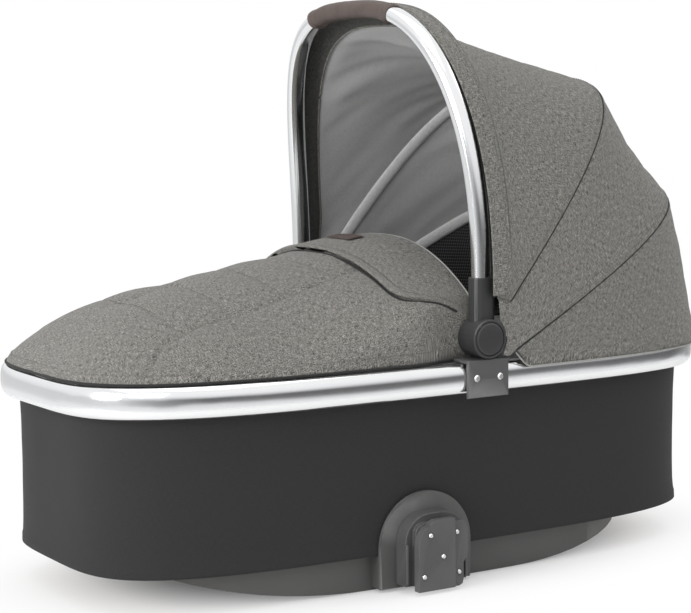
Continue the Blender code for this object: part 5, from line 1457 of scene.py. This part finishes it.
def apron_cut():
    """How far over the cover each point lies, along it and across it, before it was sewn."""
    steps, bins = 60, 90
    xs = [APRON_TIP + (APRON_END + 0.004 - APRON_TIP) * k / bins for k in range(bins + 1)]
    along = [0.0]
    for a, b in zip(xs, xs[1:]):
        along.append(along[-1] + math.hypot(b - a, apron_height(b, 0.0) - apron_height(a, 0.0)))
    tables = []
    for x in xs:
        half = max(apron_half_width(x), 1e-4)
        reach, z, row = 0.0, apron_height(x, 0.0), [0.0]
        y = 0.0
        for k in range(1, steps + 1):
            out = half * (1 - (1 - k / steps) ** 3)
            level = apron_height(x, out)
            reach += math.hypot(out - y, level - z)
            y, z = out, level
            row.append(reach)
        tables.append((half, row))

    def cut(point):
        place = within((point.x - xs[0]) / (xs[-1] - xs[0])) * bins
        k = min(int(place), bins - 1)
        share = place - k
        length = along[k] + (along[k + 1] - along[k]) * share
        reaches = []
        for half, row in tables[k:k + 2]:
            step = (1 - (1 - min(abs(point.y) / half, 1.0)) ** (1 / 3)) * steps
            n = min(int(step), steps - 1)
            reaches.append(row[n] + (row[n + 1] - row[n]) * (step - n))
        reach = reaches[0] + (reaches[1] - reaches[0]) * share
        return length, math.copysign(reach, point.y)
    return cut


cut_of = apron_cut()
flat_spots = [cut_of(vert.co) for vert in quilted_apron.data.vertices]
apron_uv = quilted_apron.data.uv_layers[0].data
for loop in quilted_apron.data.loops:
    apron_uv[loop.index].uv = flat_spots[loop.vertex_index]
give_thickness(quilted_apron, "wadding", APRON_WADDING)
dress(quilted_apron, melange_cloth, body="cot", stands_for="apron")

cover = BVHTree.FromPolygons([vert.co for vert in quilted_apron.data.vertices],
                             [face.vertices for face in quilted_apron.data.polygons])
for number, line in enumerate(quilt_lines()):
    row, facings = [], []
    for point in line:
        spot, facing, _, _ = cover.ray_cast(Vector((point.x, point.y, 1.0)), Vector((0, 0, -1)))
        if spot and point.x < UNDER_FLAP:
            row.append(spot + facing * 0.0002)
            facings.append(facing)
    stitches(f"quilt_stitches_{number + 1}", row, facings, melange_thread,
             body="cot", length=0.0028, gap=0.0012, thick=0.0004)

hem_path, hem_row, hem_out = [], [], []
for k in range(2 * SPOKES + 1):
    base = apron_spot(k, 1.0)
    last, walked, spot = base, 0.0, base
    for n in range(1, 400):
        spot = apron_spot(k, 1 - 0.35 * (n / 400) ** 3)
        walked += (spot - last).length
        last = spot
        if walked > HEM_STITCHES:
            break
    away = Vector((base.x - spot.x, base.y - spot.y, 0.0))
    out = (Vector((0.0, 0.0, 1.0)) if away.length < 1e-5 else away.normalized() * 0.8
           + Vector((0.0, 0.0, 0.6))).normalized()
    hem_path.append(Vector((base.x, base.y, APRON_HEM + 0.0016)))
    hem_row.append(spot + out * 0.0006)
    hem_out.append(out)
piping("apron_binding", hem_path, 0.0015, charcoal_cloth, body="cot")
stitches("apron_hem_stitches", hem_row, hem_out, melange_thread, body="cot")

# The flap: the apron's head end, folded over towards the foot. Its free edge is a thick
# rolled lip with a row of stitches behind it, a charcoal cord beneath the lip is painted
# shadow, and a pale piping follows the fold.
FLAP_HALF = 0.179
FLAP_LIP = 0.0026
FLAP_STITCHES = 0.0105


def flap_edges(share):
    free = -0.072 + 0.016 * share + 0.078 * share ** 22
    fold = 0.031 + 0.001 * share ** 3
    return free, fold


def quarter_round(share):
    """Rises from 0 to 1 as the edge of a quarter circle does."""
    return math.sqrt(max(1 - (1 - min(share, 1.0)) ** 2, 0.0))


def flap_floor(x, y, free):
    """The underside of the flap, which stands a little off the cover near its free edge."""
    return apron_height(x, y) + 0.0022 + 0.0022 * math.exp(-max(x - free, 0.0) / 0.016)


def flap_top(x, y, free, fold):
    edge = max(x - free, 0.0)
    thick = FLAP_LIP * (1 + quarter_round(edge / FLAP_LIP))
    thick -= 0.0016 * ridge(edge - FLAP_STITCHES, 0.0016)
    thick -= 0.0022 * min(edge / 0.05, 1.0)
    thick *= quarter_round(max(fold - x, 0.0) / 0.004) * 0.75 + 0.25
    return flap_floor(x, y, free) + thick


def flap_place(u, v):
    """Over the top from the free edge to the fold, then back beneath to the free edge."""
    share = -math.cos(math.pi * u)
    y = share * FLAP_HALF
    free, fold = flap_edges(abs(share))
    if v <= 0.68:
        along = (v / 0.68) ** 1.7
        x = free + (fold - free) * along
        z = flap_top(x, y, free, fold)
        z -= 0.0030 * abs(share) ** 30
        z += cloth_relief(Vector((x, y, 0.5)), 0.05, 0.0012) * math.sin(math.pi * along)
        z += cloth_relief(Vector((x * 0.5, y, 0.2)), 0.022, 0.0005) * min(along * 6, 1.0)
    else:
        along = 1 - (v - 0.68) / 0.32
        x = free + (fold - free) * along
        z = flap_floor(x, y, free)
        z += FLAP_LIP * (1 - quarter_round((x - free) / FLAP_LIP)) * 0.9
    return Vector((x, y, z))


apron_flap = sheet_mesh("folded_flap", (180, 84), (0.42, 0.19), flap_place, merge=True, cap=True)
dress(apron_flap, melange_cloth, body="cot", stands_for="apron_flap")

flap_row, flap_out, fold_path, under_path = [], [], [], []
for k in range(181):
    share = -math.cos(math.pi * k / 180) * 0.992
    y = share * FLAP_HALF
    free, fold = flap_edges(abs(share))
    x = free + FLAP_STITCHES
    z = flap_top(x, y, free, fold)
    flap_row.append(Vector((x, y, z + 0.0008)))
    slope = flap_top(x, y + 0.002, free, fold) - flap_top(x, y - 0.002, free, fold)
    flap_out.append(Vector((0.0, -slope / 0.004, 1.0)).normalized())
    fold_path.append(Vector((fold - 0.0006, y, flap_top(fold - 0.001, y, free, fold) - 0.0004)))
    under_path.append(Vector((free + 0.0016, y, apron_height(free + 0.0016, y) + 0.0016)))
stitches("flap_stitches", flap_row, flap_out, melange_thread, body="cot")
piping("flap_piping", even_path(fold_path, 200), 0.0012, pale_piping, body="cot")
# Painted shadow: a charcoal cord laid under the free edge stands for the shadow beneath the
# lifted lip.
piping("flap_edge_painted_shadow", even_path(under_path, 200), 0.0013, charcoal_cloth,
       body="cot")


# A small leather patch sewn on the middle of the flap. It is left bare, with a line pressed
# in it inside its stitches.
PATCH_X = -0.022
PATCH_LENGTH = 0.020
PATCH_WIDTH = 0.050
PATCH_THICK = 0.0011
PATCH_RAISED = 0.0013
PATCH_LINE = 0.0042


def patch_place(u, v):
    y = PATCH_WIDTH * (v - 0.5)
    x = PATCH_X + PATCH_LENGTH * (u - 0.5)
    free, fold = flap_edges(abs(y) / FLAP_HALF)
    rim = min(min(u, 1 - u) * PATCH_LENGTH, min(v, 1 - v) * PATCH_WIDTH)
    pressed = 0.0003 * ridge(rim - PATCH_LINE, 0.0006)
    z = flap_top(x, y, free, fold) + PATCH_RAISED - pressed
    z += max(cloth_relief(Vector((x, y, 0.5)), 0.05, 0.0012), 0.0)
    return Vector((x, y, z))


leather_patch = sheet_mesh(
    "leather_patch", (40, 90), (PATCH_LENGTH, PATCH_WIDTH), patch_place
)
if leather_patch.data.polygons[0].normal.z < 0.0:
    leather_patch.data.flip_normals()
give_thickness(leather_patch, "leather_thickness", PATCH_THICK, offset=1.0)
patch_edge = leather_patch.modifiers.new("cut_edge", "BEVEL")
patch_edge.width = 0.0003
patch_edge.segments = 2
patch_edge.limit_method = "ANGLE"
dress(leather_patch, brown_leather, body="cot", stands_for="flap_patch")
up = Vector((0.0, 0.0, 1.0))
corners = ((0.1, 0.04), (0.9, 0.04), (0.9, 0.96), (0.1, 0.96), (0.1, 0.04))
patch_path = []
for (u0, v0), (u1, v1) in zip(corners, corners[1:]):
    for k in range(30):
        spot = patch_place(u0 + (u1 - u0) * k / 30, v0 + (v1 - v0) * k / 30)
        patch_path.append(spot + up * 0.0013)
stitches("patch_stitches", patch_path, [up] * 4, brown_leather,
         body="cot", length=0.0022, gap=0.0012, thick=0.0003)
